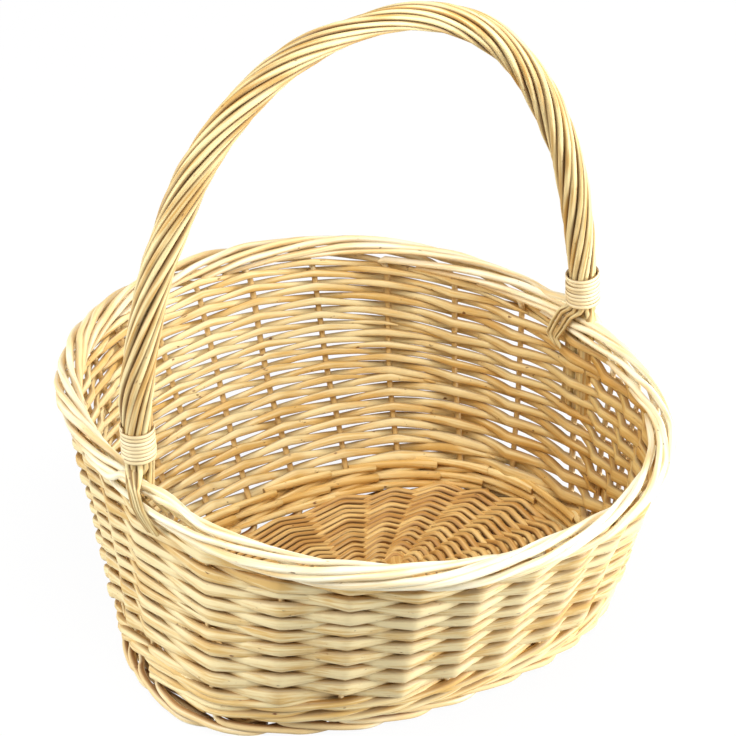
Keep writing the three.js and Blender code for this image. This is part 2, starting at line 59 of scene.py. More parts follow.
UP = np.array([0.0, 0.0, 1.0])

LONGEST_BEND = 0.48
POINTS_IN_BEND = 6

FACE_JITTER = 0.1
LUMPINESS = 0.035
LUMP_SPACING = 0.022
STRAY_SPACING = 0.045
KNOT_SPACING = 0.085
FIRST_KNOT = (0.01, 0.09)
KNOT_SWELLING = 0.07
KNOT_LENGTH = 0.0028
OVALNESS = 0.03
CUT_EDGE_SCALE = 0.86
CUT_EDGE_BULGE = 0.12
GRAIN_SHIFT = 40
# How narrow the painted shade is at a rod's sides where it touches its neighbours, and how much painted shade
# a rod's outer side takes where it goes in behind a stake.
CONTACT_SHADE_SHARPNESS = 4
SUNK_SHADE = 0.65

# A pattern's waves in a metre along and across a rod, its detail, and the noise that it runs between.
STREAKS = ((16, 520, 3), 0.34, 0.66)
PATCHES = ((22, 60, 2), 0.32, 0.68)
SCARS = ((150, 330, 2), 0.70, 0.78)
FIBRES = (60, 2600, 2)
# The warm brown of the painted shade on the sides of rods that look in.
INNER_SHADE_COLOR = (0.82, 0.68, 0.42, 1)
CUT_END_SCAR = 0.6
LEAST_ROUGHNESS = 0.42
FIBRE_ROUGHNESS = 0.3
FIBRE_RELIEF = 0.5
STREAK_RELIEF = 0.5
SCAR_RELIEF = 0.3
BUMP_STRENGTH = 0.25
BUMP_DISTANCE = 0.0004
MIX_FACTOR, MIX_FIRST, MIX_SECOND, MIX_RESULT = 0, 6, 7, 2

LONG_STICKS = 5
CROSS_STICKS = 7
STICK_RADIUS = 0.0028
STICK_SPACING = 0.0075
CROSS_STICK_SPACING = 0.0115
STICK_SPREAD = 0.47
STICK_TIP_INSET = 0.0040
STICK_BEND = 0.012
STICK_STEP = 0.004
STICK_TONES = (0.1, 0.8)
BASE_LEVEL = 0.0110


def unit(vectors):
    return vectors / (np.linalg.norm(vectors, axis=-1, keepdims=True) + 1e-12)


def blend(low, high, share):
    return low + (high - low) * share


def power_of(value, squareness):
    return np.sign(value) * np.abs(value) ** (2 / squareness)


def wall_at(angle, height, inset=0.0):
    """A place on the wall, which is straight from the foot's oval up to the rim's."""
    foot_x = FOOT_CENTRE_X + (FOOT_HALF_LENGTH - inset) * power_of(np.cos(angle), FOOT_SQUARENESS)
    foot_y = FOOT_CENTRE_Y + (FOOT_HALF_WIDTH - inset) * power_of(np.sin(angle), FOOT_SQUARENESS)
    rim_x = (RIM_HALF_LENGTH - inset) * power_of(np.cos(angle), RIM_SQUARENESS)
    rim_y = (RIM_HALF_WIDTH - inset) * power_of(np.sin(angle), RIM_SQUARENESS)
    up = height / RIM_HEIGHT
    degrees = (np.degrees(angle) + 180) % 360 - 180

    def bulges(corners):
        return sum(size * np.exp(-(((degrees - middle) / UNEVEN_WIDTH) ** 2)) for middle, size in corners)

    bulge = bulges(UNEVEN_CORNERS) * blend(1, CORNERS_KEPT_AT_RIM, up)
    bulge = bulge + bulges(UNEVEN_FOOT) * np.clip(1 - up, 0, 1) ** UNEVEN_FOOT_FADE
    x = blend(foot_x, rim_x, up) + bulge * np.cos(angle)
    y = blend(foot_y, rim_y, up) + bulge * np.sin(angle)
    return np.stack([x, y, height + 0 * foot_x], axis=-1)


def wander(rng, distance, spacing):
    """Random values at even distances, joined by smooth steps."""
    steps = distance / spacing
    values = rng.normal(0, 1, int(steps[-1]) + 3)
    whole = steps.astype(int)
    share = (1 - np.cos((steps - whole) * math.pi)) / 2
    return blend(values[whole], values[whole + 1], share)


def length_along(path):
    """How far along the path each of its points is."""
    return np.concatenate([[0], np.cumsum(np.linalg.norm(np.diff(path[:, :3], axis=0), axis=1))])


def run_of(path, step):
    """The path again, with a point every step along it."""
    distance = length_along(path)
    even = np.linspace(0, distance[-1], max(int(distance[-1] / step), 2) + 1)
    return np.stack([np.interp(even, distance, column) for column in path.T], axis=1)


def bent(corners, bend, step):
    """A path of straight runs whose corners are rounded. Its fourth column is the rod's radius."""
    corners = np.array(corners, float)
    path = [corners[0]]
    for before, corner, after in zip(corners, corners[1:], corners[2:]):
        arriving = before - corner
        leaving = after - corner
        start = corner + arriving * min(bend / np.linalg.norm(arriving[:3]), LONGEST_BEND)
        end = corner + leaving * min(bend / np.linalg.norm(leaving[:3]), LONGEST_BEND)
        for share in np.linspace(0, 1, POINTS_IN_BEND):
            path.append(start * (1 - share) ** 2 + corner * 2 * share * (1 - share) + end * share**2)
    path.append(corners[-1])
    return run_of(np.array(path), step)


def faces_along(path, first):
    """One direction square to the path at each of its points, carried along without twist."""
    direction = unit(np.gradient(path[:, :3], axis=0))
    face = np.zeros_like(direction)
    face[0] = unit(first - direction[0] * (first @ direction[0]))
    for i in range(1, len(path)):
        face[i] = unit(face[i - 1] - direction[i] * (face[i - 1] @ direction[i]))
    return direction, face


def new_bundle():
    names = ("points", "faces", "flat", "grain", "tone", "cut", "contact_shade", "inner")
    return {"count": 0, **{name: [] for name in names}}


def lay_rod(
    bundle, rng, path, tone, sides=10, deep=1.0, stray=0.0, slant=(0.3, 0.3), faces=None,
    contact_shade=0.0, inner=0.0, boxy=2.0, sunk=0.0,
):
    """Adds a rod to the bundle: a path of points with radii, a bark tone from 0 to 1, and cut ends.

    Faces are the ways that its outer side looks, and deep is its thickness that way for a width of 1.
    Contact shade is painted shade on the sides that touch its neighbours, inner shade is painted brown
    shade on the side that looks in, boxy squares the section, and sunk is -1 outside the stakes and 1
    inside them, where its outer side takes painted shade. Tone, deep, contact shade, inner shade and sunk
    can change along the rod.
    """

    def per_ring(values):
        values = np.broadcast_to(values, len(path))
        return np.concatenate([values[:1], values, values[-1:]])

    path = path.copy()
    distance = length_along(path)
    direction, face = faces_along(path, UP + rng.normal(0, FACE_JITTER, 3)) if faces is None else faces
    side = np.cross(direction, face)
    if stray:
        path[:, :3] += face * (wander(rng, distance, STRAY_SPACING) * stray)[:, None]
        path[:, :3] += side * (wander(rng, distance, STRAY_SPACING) * stray)[:, None]
    radius = path[:, 3] * (1 + LUMPINESS * wander(rng, distance, LUMP_SPACING))
    for knot in np.arange(rng.uniform(*FIRST_KNOT), distance[-1], KNOT_SPACING):
        radius *= 1 + KNOT_SWELLING * np.exp(-(((distance - knot) / KNOT_LENGTH) ** 2))
    turns = np.arange(sides) * 2 * math.pi / sides
    oval_turn = rng.uniform(0, math.pi)
    uneven = 1 + OVALNESS * np.cos(2 * (turns - oval_turn))
    around = power_of(np.cos(turns), boxy) * uneven
    across = power_of(np.sin(turns), boxy) * uneven
    deeps = np.broadcast_to(deep, len(path))

    def ring(i, scale, ahead):
        at = path[i, :3] + direction[i] * ahead
        spread = np.outer(around * deeps[i], face[i]) + np.outer(across, side[i])
        return at + spread * radius[i] * scale

    def cut_end(i, cut, outward):
        tilt = np.outer(np.cos(turns), direction[i]) * radius[i] * cut
        edge = ring(i, CUT_EDGE_SCALE, outward * radius[i] * CUT_EDGE_BULGE) + tilt * CUT_EDGE_SCALE
        return [edge, ring(i, 1.0, 0) + tilt]

    last = len(path) - 1
    rings = cut_end(0, slant[0], -1) + [ring(i, 1.0, 0) for i in range(1, last)]
    rings += cut_end(last, slant[1], 1)[::-1]
    points = np.concatenate([*rings, [rings[0].mean(0), rings[-1].mean(0)]])
    points[:, 2] = np.maximum(points[:, 2], 0)
    first = bundle["count"]
    for i in range(len(rings) - 1):
        low = first + i * sides
        for j in range(sides):
            k = (j + 1) % sides
            bundle["faces"].append((low + j, low + k, low + sides + k, low + sides + j))
            bundle["flat"].append(i in (0, len(rings) - 2))
    top = first + (len(rings) - 1) * sides
    hub = top + sides
    for j in range(sides):
        k = (j + 1) % sides
        bundle["faces"] += [(hub, first + k, first + j), (hub + 1, top + j, top + k)]
        bundle["flat"] += [True, True]
    along = per_ring(distance) + rng.uniform(0, GRAIN_SHIFT)
    reach = per_ring(radius)
    grain = np.zeros((len(rings), sides, 3))
    grain[:, :, 0] = along[:, None]
    grain[:, :, 1] = np.outer(reach, np.cos(turns))
    grain[:, :, 2] = np.outer(reach, np.sin(turns))
    hubs = [[along[0], 0, 0], [along[-1], 0, 0]]
    tones = np.repeat(per_ring(tone), sides)
    is_cut = np.zeros(len(points))
    is_cut[:sides] = 1
    is_cut[-sides - 2 :] = 1
    # Painted shade: darker sides where the rod touches its neighbours, a darker outer side where it goes in
    # behind a stake, and a warm brown on the side that looks in.
    contact_shades = np.outer(per_ring(contact_shade), np.abs(np.sin(turns)) ** CONTACT_SHADE_SHARPNESS)
    shaded = SUNK_SHADE * np.outer(np.maximum(per_ring(sunk), 0), np.maximum(np.cos(turns), 0))
    inner_shading = np.outer(per_ring(inner), 0.5 - 0.5 * np.cos(turns))
    bundle["points"].append(points)
    bundle["grain"].append(np.concatenate([grain.reshape(-1, 3), hubs]))
    bundle["tone"].append(np.append(tones, [tones[0], tones[-1]]))
    bundle["cut"].append(is_cut)
    bundle["contact_shade"].append(np.append(np.maximum(contact_shades, shaded).ravel(), [0, 0]))
    bundle["inner"].append(np.append(inner_shading.ravel(), [0, 0]))
    bundle["count"] += len(points)


def make_piece(name, bundle, material, node):
    """Turns a bundle of rods into one object that stands for this node of the frame."""
    mesh = bpy.data.meshes.new(name)
    mesh.from_pydata(np.concatenate(bundle["points"]), [], bundle["faces"])
    mesh.polygons.foreach_set("use_smooth", [not flat for flat in bundle["flat"]])
    grain = mesh.attributes.new("grain", "FLOAT_VECTOR", "POINT")
    grain.data.foreach_set("vector", np.concatenate(bundle["grain"]).astype(np.float32).ravel())
    for attribute in ("tone", "cut", "contact_shade", "inner"):
        values = mesh.attributes.new(attribute, "FLOAT", "POINT")
        values.data.foreach_set("value", np.concatenate(bundle[attribute]).astype(np.float32))
    piece = bpy.data.objects.new(name, mesh)
    bpy.context.scene.collection.objects.link(piece)
    mesh.materials.append(material)
    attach(piece, "root")
    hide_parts(node)


def srgb(red, green, blue):
    """A colour as it looks on a screen, 0 to 255, for a shader."""
    linear = [c / 255 / 12.92 if c <= 10 else ((c / 255 + 0.055) / 1.055) ** 2.4 for c in (red, green, blue)]
    return (*linear, 1)


def feed(tree, socket, value):
    """Gives a shader socket a value, or links it to the socket that the value comes from."""
    if isinstance(value, bpy.types.NodeSocket):
        tree.links.new(value, socket)
    else:
        socket.default_value = value


def bark_group():
    """Peeled willow: streaks that run with the rod, cloudy patches, fine fibres, scars, cut ends and painted
    shade.
    """
    group = bpy.data.node_groups.new("Peeled willow", "ShaderNodeTree")
    for names, side, kind in (
        (("Pale", "Deep", "Contact_shade", "Scar"), "INPUT", "NodeSocketColor"),
        (("Streaks", "Scars"), "INPUT", "NodeSocketFloat"),
        (("Color",), "OUTPUT", "NodeSocketColor"),
        (("Roughness", "Height"), "OUTPUT", "NodeSocketFloat"),
    ):
        for name in names:
            group.interface.new_socket(name, in_out=side, socket_type=kind)
    nodes = group.nodes
    given = nodes.new("NodeGroupInput").outputs
    made = nodes.new("NodeGroupOutput").inputs

    def attribute(name, output="Fac"):
        node = nodes.new("ShaderNodeAttribute")
        node.attribute_name = name
        return node.outputs[output]

    grain = attribute("grain", "Vector")

    def noise(along, across, detail):
        scale = nodes.new("ShaderNodeVectorMath")
        scale.operation = "MULTIPLY"
        feed(group, scale.inputs[0], grain)
        feed(group, scale.inputs[1], (along, across, across))
        texture = nodes.new("ShaderNodeTexNoise")
        feed(group, texture.inputs["Scale"], 1)
        feed(group, texture.inputs["Detail"], detail)
        feed(group, texture.inputs["Vector"], scale.outputs[0])
        return texture.outputs["Fac"]

    def spread(frequencies, low, high):
        node = nodes.new("ShaderNodeMapRange")
        feed(group, node.inputs["From Min"], low)
        feed(group, node.inputs["From Max"], high)
        feed(group, node.inputs["Value"], noise(*frequencies))
        return node.outputs["Result"]

    def math_node(operation, *values, clamp=False):
        node = nodes.new("ShaderNodeMath")
        node.operation = operation
        node.use_clamp = clamp
        for socket, value in zip(node.inputs, values):
            feed(group, socket, value)
        return node.outputs[0]

    def mix(factor, first, second, blend_type="MIX"):
        node = nodes.new("ShaderNodeMix")
        node.data_type = "RGBA"
        node.blend_type = blend_type
        for socket, value in ((MIX_FACTOR, factor), (MIX_FIRST, first), (MIX_SECOND, second)):
            feed(group, node.inputs[socket], value)
        return node.outputs[MIX_RESULT]

    def uneven(pattern):
        return math_node("MULTIPLY", math_node("SUBTRACT", pattern, 0.5), given["Streaks"])

    streak = spread(*STREAKS)
    fibre = noise(*FIBRES)
    shade = math_node("ADD", attribute("tone"), uneven(streak))
    shade = math_node("ADD", shade, uneven(spread(*PATCHES)), clamp=True)
    scar = math_node("MULTIPLY", spread(*SCARS), given["Scars"])
    scar = math_node("MAXIMUM", scar, math_node("MULTIPLY", attribute("cut"), CUT_END_SCAR))
    color = mix(shade, given["Deep"], given["Pale"])
    # Painted shade: the warm brown is multiplied in on the sides that look in.
    color = mix(attribute("inner"), color, INNER_SHADE_COLOR, "MULTIPLY")
    # Painted shade: the shade colour where rods touch their neighbours and where they go in behind stakes.
    color = mix(attribute("contact_shade"), color, given["Contact_shade"])
    fibre_relief = math_node("MULTIPLY", fibre, FIBRE_RELIEF)
    height = math_node("ADD", fibre_relief, math_node("MULTIPLY", streak, STREAK_RELIEF))
    feed(group, made["Color"], mix(scar, color, given["Scar"]))
    feed(group, made["Roughness"], math_node("MULTIPLY_ADD", fibre, FIBRE_ROUGHNESS, LEAST_ROUGHNESS))
    feed(group, made["Height"], math_node("SUBTRACT", height, math_node("MULTIPLY", scar, SCAR_RELIEF)))
    return group


peeled_willow = bark_group()


# Pale and deep are the bark's own colours; the one after them is the painted shade where rods touch their
# neighbours and go in behind stakes.
def willow(name, pale, deep, contact_shade, scar, streaks, scars):
    material = bpy.data.materials.new(name)
    material.use_nodes = True
    tree = material.node_tree
    surface = tree.nodes["Principled BSDF"].inputs
    bark = tree.nodes.new("ShaderNodeGroup")
    bark.node_tree = peeled_willow
    for socket, color in (("Pale", pale), ("Deep", deep), ("Contact_shade", contact_shade), ("Scar", scar)):
        feed(tree, bark.inputs[socket], srgb(*color))
    feed(tree, bark.inputs["Streaks"], streaks)
    feed(tree, bark.inputs["Scars"], scars)
    relief = tree.nodes.new("ShaderNodeBump")
    feed(tree, relief.inputs["Strength"], BUMP_STRENGTH)
    feed(tree, relief.inputs["Distance"], BUMP_DISTANCE)
    feed(tree, relief.inputs["Height"], bark.outputs["Height"])
    feed(tree, surface["Base Color"], bark.outputs["Color"])
    feed(tree, surface["Roughness"], bark.outputs["Roughness"])
    feed(tree, surface["Normal"], relief.outputs["Normal"])
    return material


base_willow = willow(
    "Base willow", pale=(234, 196, 124), deep=(190, 140, 70), contact_shade=(84, 42, 10), scar=(90, 52, 22),
    streaks=1.1, scars=0.9,
)

STICK_ENDS = 2 * (LONG_STICKS + CROSS_STICKS)
SLATH_HALF_LENGTH = (LONG_STICKS + 1) / 2 * STICK_SPACING
SLATH_HALF_WIDTH = (CROSS_STICKS - 1) / 2 * CROSS_STICK_SPACING + STICK_SPACING

stick_ends = []
sticks = new_bundle()
rng = np.random.default_rng(11)
for count, spacing in ((LONG_STICKS, STICK_SPACING), (CROSS_STICKS, CROSS_STICK_SPACING)):
    for i in range(count):
        place = i - (count - 1) / 2
        turned = place * 2 * math.pi / STICK_ENDS
        if count == LONG_STICKS:
            knees = [(place * spacing, -SLATH_HALF_WIDTH), (place * spacing, SLATH_HALF_WIDTH)]
            angles = [-math.pi / 2 + turned, math.pi / 2 - turned]
        else:
            knees = [(-SLATH_HALF_LENGTH, place * spacing), (SLATH_HALF_LENGTH, place * spacing)]
            angles = [math.pi - turned, turned]
        knees = [np.array([x, y, BASE_LEVEL]) for x, y in knees]
        stick_ends += list(zip(knees, angles))
        tips = [wall_at(angle, BASE_LEVEL, STICK_TIP_INSET) for angle in angles]
        corners = [tips[0], *knees, tips[1]]
        radii = [STICK_RADIUS, spacing * STICK_SPREAD, spacing * STICK_SPREAD, STICK_RADIUS]
        path = bent([[*corner, radius] for corner, radius in zip(corners, radii)], STICK_BEND, STICK_STEP)
        lay_rod(sticks, rng, path, rng.uniform(*STICK_TONES), deep=STICK_RADIUS / path[:, 3])
make_piece("base_stick_cross", sticks, base_willow, "base_sticks")

# Base weaving
# Two thin rods chase each other round the stick ends in a flat spiral from the cross to the wall.
# Where one goes over a stick, the other goes under it, and the rounds are beaten close together.
BASE_ROUND = 0.0068
BASE_SQUEEZE = 0.74
BASE_FLATNESS = 0.72
FIRST_BASE_ROUND = 0.0035
BASE_EDGE_INSET = 0.0052
BASE_ROD_RADII = (0.0014, 0.0026)
BASE_ROD_SIZES = (0.93, 1.07)
BASE_ROD_LIFT = 0.6
BASE_UNEVENNESS = 0.00015
BASE_TONES = (0.0, 0.9)
BASE_ROD_BEND = 0.0028
BASE_ROD_STEP = 0.0022

stick_ends.sort(key=lambda end: end[1] % (2 * math.pi))


def woven_stretch(knee, angle):
    """The way from a stick's knee to the last round that is laid on it, and how long it is."""
    way = wall_at(angle, BASE_LEVEL, BASE_EDGE_INSET) - knee
    return way, np.linalg.norm(way)


def base_place(crossing, weaver, rng):
    knee, angle = stick_ends[crossing % STICK_ENDS]
    way, reach = woven_stretch(knee, angle)
    laid = (crossing / STICK_ENDS + weaver / 2) / BASE_LAPS
    at = knee + way * (FIRST_BASE_ROUND + laid * (reach - FIRST_BASE_ROUND)) / reach
    over = 1 if (crossing + weaver) % 2 == 0 else -1
    radius = np.clip(BASE_SQUEEZE * reach / BASE_LAPS / 2, *BASE_ROD_RADII)
    lift = over * (STICK_RADIUS + radius * BASE_ROD_LIFT)
    at[2] = BASE_LEVEL + lift + rng.normal(0, BASE_UNEVENNESS)
    return [*at, radius * rng.uniform(*BASE_ROD_SIZES)]


BASE_LAPS = int(max(woven_stretch(*end)[1] for end in stick_ends) / BASE_ROUND)
for weaver in range(2):
    rounds = new_bundle()
    rng = np.random.default_rng(21 + weaver)
    for lap in range(BASE_LAPS):
        tone = rng.uniform(*BASE_TONES)
        crossings = range(lap * STICK_ENDS, (lap + 1) * STICK_ENDS + 2)
        corners = [base_place(crossing, weaver, rng) for crossing in crossings]
        path = bent(corners, BASE_ROD_BEND, BASE_ROD_STEP)
        # Painted shade along the sides where the rounds touch.
        lay_rod(
            rounds, rng, path, tone, sides=8, deep=BASE_FLATNESS, stray=0.0001,
            faces=faces_along(path, UP), contact_shade=0.9,
        )
    node = f"base_weaver_{weaver + 1}"
    make_piece(f"base_round_rods_{weaver + 1}", rounds, base_willow, node)

# Stakes
# Twenty-nine rods that carry the wall. Each lies in the foot border, is bent up round a tight corner,
# stands in the weaving and is laid down over the next ones in the rolled border on top.
STAKES = 29
STAKES_ON_FRONT_HALF = 14
HANDLE_STAKES = (0, STAKES_ON_FRONT_HALF)
STAKE_RADIUS = 0.0018
STAKE_LEAN = 0.03
STAKE_BEND = 0.0075
STAKE_STEP = 0.0026
STAKE_TONES = (0.35, 1.0)
FOOT_ROD_RADIUS = 0.0024
FOOT_SWING = 0.0046
FOOT_ROD_PITCH = 0.0049
WALE_BOTTOM = 0.0116
BORDER_ROD_RADIUS = 0.0024
BORDER_ROD_SWELL = 1.05
BORDER_ROD_TAPER = 0.045
BORDER_ROD_SIZES = (0.84, 1.16)
BORDER_ROD_TURNS = (-14, 14)
BORDER_COIL_RADIUS = 0.0061
BORDER_COIL_SIZES = (0.84, 1.12)
BORDER_COIL_TURNS = (-7, 7)
BORDER_CENTRE = 0.1488
BORDER_START_ANGLE = -84
BORDER_ANGLE_PER_SPAN = 50
BORDER_SPANS = 6.4
BORDER_STEP = 0.5
BORDER_END = (-0.5, 0.3)
BORDER_NECK = 0.009
BORDER_BEND_BELOW = BORDER_NECK * 0.9
BORDER_BEND = (0.16, 0.15)
HANDLE_STAKE_BEND = (0.03, 0.85)
BACK_RIM_DROP = 0.0022
BACK_RIM_DROPS = (14.5, 27.5)
RIM_STEPS = 1440
PROBE_STATIONS = 0.02
PROBE_HEIGHT = 0.001

# Spans along from the stake, side from 1 outside to -1 inside, and height in pitches of the foot's rods.
FOOT_STROKE = (
    (2.85, -1.0, 0.0),
    (2.0, -0.45, 0.0),
    (1.6, 0.85, 0.0),
    (1.1, 1.05, 0.5),
    (0.5, 1.05, 1.1),
    (0.12, 0.8, 1.42),
)

# The strokes beside the handle are parted. A corner is the spans along from the stake, and shares of
# how far out and how high they are pushed.
PARTED_FROM, PARTED_TO = 2, 2.5
PARTED_OUT = 0.0043
PARTED_LIFT = 0.0085
PARTED_STROKE = ((1.83, 1.0, 0.93), (2.17, 1.0, 1.0), (2.33, 0.36, 1.07), (2.5, -0.36, 0.91))

# The heights between which a stake's foot and its upright begin and end, and how far back the back is.
# Each is painted shade: it takes so much from the tone, and adds so much contact shade and inner shade.
FOOT_FROM = (0.020, 0.010)
UPRIGHT_FROM = (0.016, 0.022)
UPRIGHT_UP_TO = (0.138, 0.134)
BACK_FROM = (0, -0.1)
FOOT_SHADE = (0.8, 0.7, 0)
UPRIGHT_SHADE = (0.7, 0, 0.6)
BACK_SHADE = (0.4, 0.2, 0.25)
STAKE_CONTACT_SHADE = 0.24

# Where the stakes stand on the foot and on the rim, in even shares of the front and of the back. They
# were set by hand, wide apart at the left and in the middle of the back, and lean as they were pushed.
FOOT_PLACES = (
    0, 2.05, 3.45, 4.75, 5.75, 6.55, 7.2, 8.05, 8.8, 9.6, 10.4, 11.3, 12.2, 13.1, 14.0,
    16.15, 17.6, 19.0, 20.1, 21.05, 21.75, 22.5, 23.3, 24.1, 24.9, 25.7, 26.5, 27.3, 28.15, 29,
)
RIM_PLACES = (
    0, 1.65, 2.95, 4.0, 5.0, 5.95, 6.8, 7.6, 8.4, 9.3, 10.3, 11.25, 12.15, 13.05, 14.05,
    15.5, 16.85, 18.15, 19.35, 20.5, 21.45, 22.4, 23.25, 24.05, 24.85, 25.65, 26.45, 27.3, 28.15, 29,
)

rim_angles = np.linspace(-math.pi / 2, 1.5 * math.pi, RIM_STEPS + 1)
rim_arc = length_along(wall_at(rim_angles, RIM_HEIGHT))


def wall_point(station, height):
    """Stations are stakes with fractions, counted from the handle's foot at -Y."""
    station, height = np.broadcast_arrays(np.asarray(station, float), np.asarray(height, float))
    local = np.mod(station, STAKES)
    on_foot = np.interp(local, range(STAKES + 1), FOOT_PLACES)
    on_rim = np.interp(local, range(STAKES + 1), RIM_PLACES)
    local = blend(on_foot, on_rim, height / RIM_HEIGHT)
    on_front = local / STAKES_ON_FRONT_HALF / 2
    on_back = 0.5 + (local - STAKES_ON_FRONT_HALF) / (STAKES - STAKES_ON_FRONT_HALF) / 2
    share = np.where(local < STAKES_ON_FRONT_HALF, on_front, on_back)
    return wall_at(np.interp(share * rim_arc[-1], rim_arc, rim_angles), height)


def wall_frame(station, height):
    """A place on the wall with the ways along it, up it, square out of it and level out of it."""
    at = wall_point(station, height)
    ahead = wall_point(np.add(station, PROBE_STATIONS), height)
    along = unit(ahead - wall_point(np.subtract(station, PROBE_STATIONS), height))
    rise = unit(wall_point(station, np.add(height, PROBE_HEIGHT)) - at)
    out = unit(np.cross(along, rise))
    level = unit(np.cross(along, UP))
    return at, along, rise, out, level


def stroke_place(station, out, height, wall_height, radius):
    """A corner of a rod that lies level, out from the wall as it stands at another height."""
    at, _, _, _, level = wall_frame(station, wall_height)
    at = at + level * out
    return [at[0], at[1], height, radius, *level]


def faces_to(path, out):
    """The ways that a rod's outer side looks, where the wall or the handle looks out."""
    direction = unit(np.gradient(path[:, :3], axis=0))
    return direction, unit(out - direction * np.sum(out * direction, axis=1)[:, None])


def ramp(value, start, end):
    """0 on the start's side, 1 on the end's side and straight between them."""
    return np.clip((value - start) / (end - start), 0, 1)


def rim_drop(station):
    """The rim is a little lower at the back, where the short rows were left out too soon."""
    return BACK_RIM_DROP * math.sin(math.pi * ramp(station % STAKES, *BACK_RIM_DROPS))


def border_place(stake, spans, rod_turn, rod_size, rng):
    turn = BORDER_START_ANGLE + BORDER_ANGLE_PER_SPAN * spans + rod_turn + rng.uniform(*BORDER_COIL_TURNS)
    turn = math.radians(turn)
    reach = BORDER_COIL_RADIUS * rng.uniform(*BORDER_COIL_SIZES)
    radius = BORDER_ROD_RADIUS * (BORDER_ROD_SWELL - BORDER_ROD_TAPER * spans) * rod_size
    height = BORDER_CENTRE + reach * math.sin(turn) - rim_drop(stake + spans)
    place = stroke_place(stake + spans, reach * math.cos(turn), height, RIM_HEIGHT, radius)
    look = np.array(place[4:]) * math.cos(turn) + UP * math.sin(turn)
    return [*place[:4], *look]


def parted_place(stake, spans, out, lift):
    height = RIM_HEIGHT + PARTED_LIFT * lift
    return stroke_place(stake + spans, PARTED_OUT * out, height, RIM_HEIGHT, BORDER_ROD_RADIUS)


stake_willow = willow(
    "Stake willow", pale=(254, 246, 214), deep=(240, 211, 152), contact_shade=(136, 78, 18), scar=(114, 72, 34),
    streaks=1.0, scars=0.8,
)

for stake in range(STAKES):
    rng = np.random.default_rng(100 + stake)
    corners = []
    for spans, out, raised in FOOT_STROKE:
        height = FOOT_ROD_RADIUS + FOOT_ROD_PITCH * raised
        corners.append(stroke_place(stake + spans, FOOT_SWING * out, height, 0, FOOT_ROD_RADIUS))
    for height in (WALE_BOTTOM, RIM_HEIGHT * 0.5, RIM_HEIGHT - BORDER_NECK):
        at, _, _, out, _ = wall_frame(stake + rng.normal(0, STAKE_LEAN), height)
        corners.append([*at, STAKE_RADIUS, *out])
    rod_turn = rng.uniform(*BORDER_ROD_TURNS)
    rod_size = rng.uniform(*BORDER_ROD_SIZES)
    spans, out = HANDLE_STAKE_BEND if stake in HANDLE_STAKES else BORDER_BEND
    height = RIM_HEIGHT - BORDER_BEND_BELOW - rim_drop(stake)
    corners.append(stroke_place(stake + spans, BORDER_COIL_RADIUS * out, height, RIM_HEIGHT, STAKE_RADIUS))
    is_parted = (stake + 2) % STAKES in HANDLE_STAKES
    for spans in np.arange(BORDER_STEP, BORDER_SPANS - BORDER_STEP, BORDER_STEP):
        if not is_parted or spans < PARTED_FROM or spans > PARTED_TO:
            corners.append(border_place(stake, spans, rod_turn, rod_size, rng))
        elif spans == PARTED_FROM:
            corners += [parted_place(stake, *place) for place in PARTED_STROKE]
    corners.append(border_place(stake, BORDER_SPANS + rng.uniform(*BORDER_END), rod_turn, rod_size, rng))
    rod = new_bundle()
    path = bent(corners, STAKE_BEND, STAKE_STEP)
    # Painted shade: the foot, the upright in the weaving and the back are darker, with more painted shade at
    # the sides and on the side that looks in.
    shades = np.outer(ramp(path[:, 2], *FOOT_FROM), FOOT_SHADE)
    upright = ramp(path[:, 2], *UPRIGHT_FROM) * ramp(path[:, 2], *UPRIGHT_UP_TO)
    shades += np.outer(upright, UPRIGHT_SHADE) + np.outer(ramp(path[:, 0], *BACK_FROM), BACK_SHADE)
    darker, contact_shading, inner_shading = shades.T
    lay_rod(
        rod, rng, path, rng.uniform(*STAKE_TONES) - darker, stray=0.0003, slant=(0.4, 1.1),
        faces=faces_to(path, path[:, 4:]), contact_shade=STAKE_CONTACT_SHADE + contact_shading, inner=inner_shading,
    )
    make_piece(f"stake_rod_{stake + 1:02d}", rod, stake_willow, f"stake_{stake + 1:02d}")

# Upsett
# Two rounds of three-rod wale that hold the bent-up stakes apart. Each rod passes outside two
# stakes, low and then high, and inside the third. The first round steps up onto the second.
WALE_RODS = 3
WALE_ROUNDS = 2
WALE_STEP_UP = 3
WALE_RADIUS = 0.0028
WALE_HALF_STEP = 0.0024
WALE_ROUND_STEPS = 4
WALE_FIRST_CENTRE = 0.0198
WALE_SWING = 0.0038
WALE_SINKS_AT_BACK = 0.48
WALE_SINKS_BETWEEN = (12, 28)
WALE_BEND = 0.012
WALE_STEP = 0.003
WALE_TONES = (0.3, 0.9)
RODS_PIECED_TOGETHER = 3
POINTS_OVERLAPPED = 3
LAST_WALE_CROSSING = WALE_ROUNDS * STAKES + 1
PLACES_IN_SPAN = 8

# Stakes on from the start, side from 1 outside to -1 inside, and height in half steps.
WALE_STROKE = ((0, -1, 0), (0.5, 0, -1), (1, 1, -1), (2, 1, 1), (2.5, 0, 1))

weaver_willow = willow(
    "Weaver willow", pale=(247, 229, 176), deep=(222, 183, 108), contact_shade=(116, 60, 8), scar=(120, 72, 30),
    streaks=1.1, scars=1.0,
)


def wale_height(crossing):
    rounds, local = divmod(crossing, STAKES)
    step_up = ramp(local, STAKES - WALE_STEP_UP, STAKES)
    at_back = math.sin(math.pi * ramp(local, *WALE_SINKS_BETWEEN)) ** 0.5
    climbed = min(rounds + step_up, WALE_ROUNDS - 1)
    height = WALE_FIRST_CENTRE + WALE_ROUND_STEPS * WALE_HALF_STEP * climbed
    return height - (height - BASE_LEVEL) * WALE_SINKS_AT_BACK * at_back


station_line = np.linspace(0, STAKES, STAKES * PLACES_IN_SPAN, endpoint=False)
station_places = wall_point(station_line, WALE_FIRST_CENTRE)


def nearest_station(path):
    away = np.linalg.norm(path[:, None, :2] - station_places[None, :, :2], axis=2)
    return station_line[np.argmin(away, axis=1)]


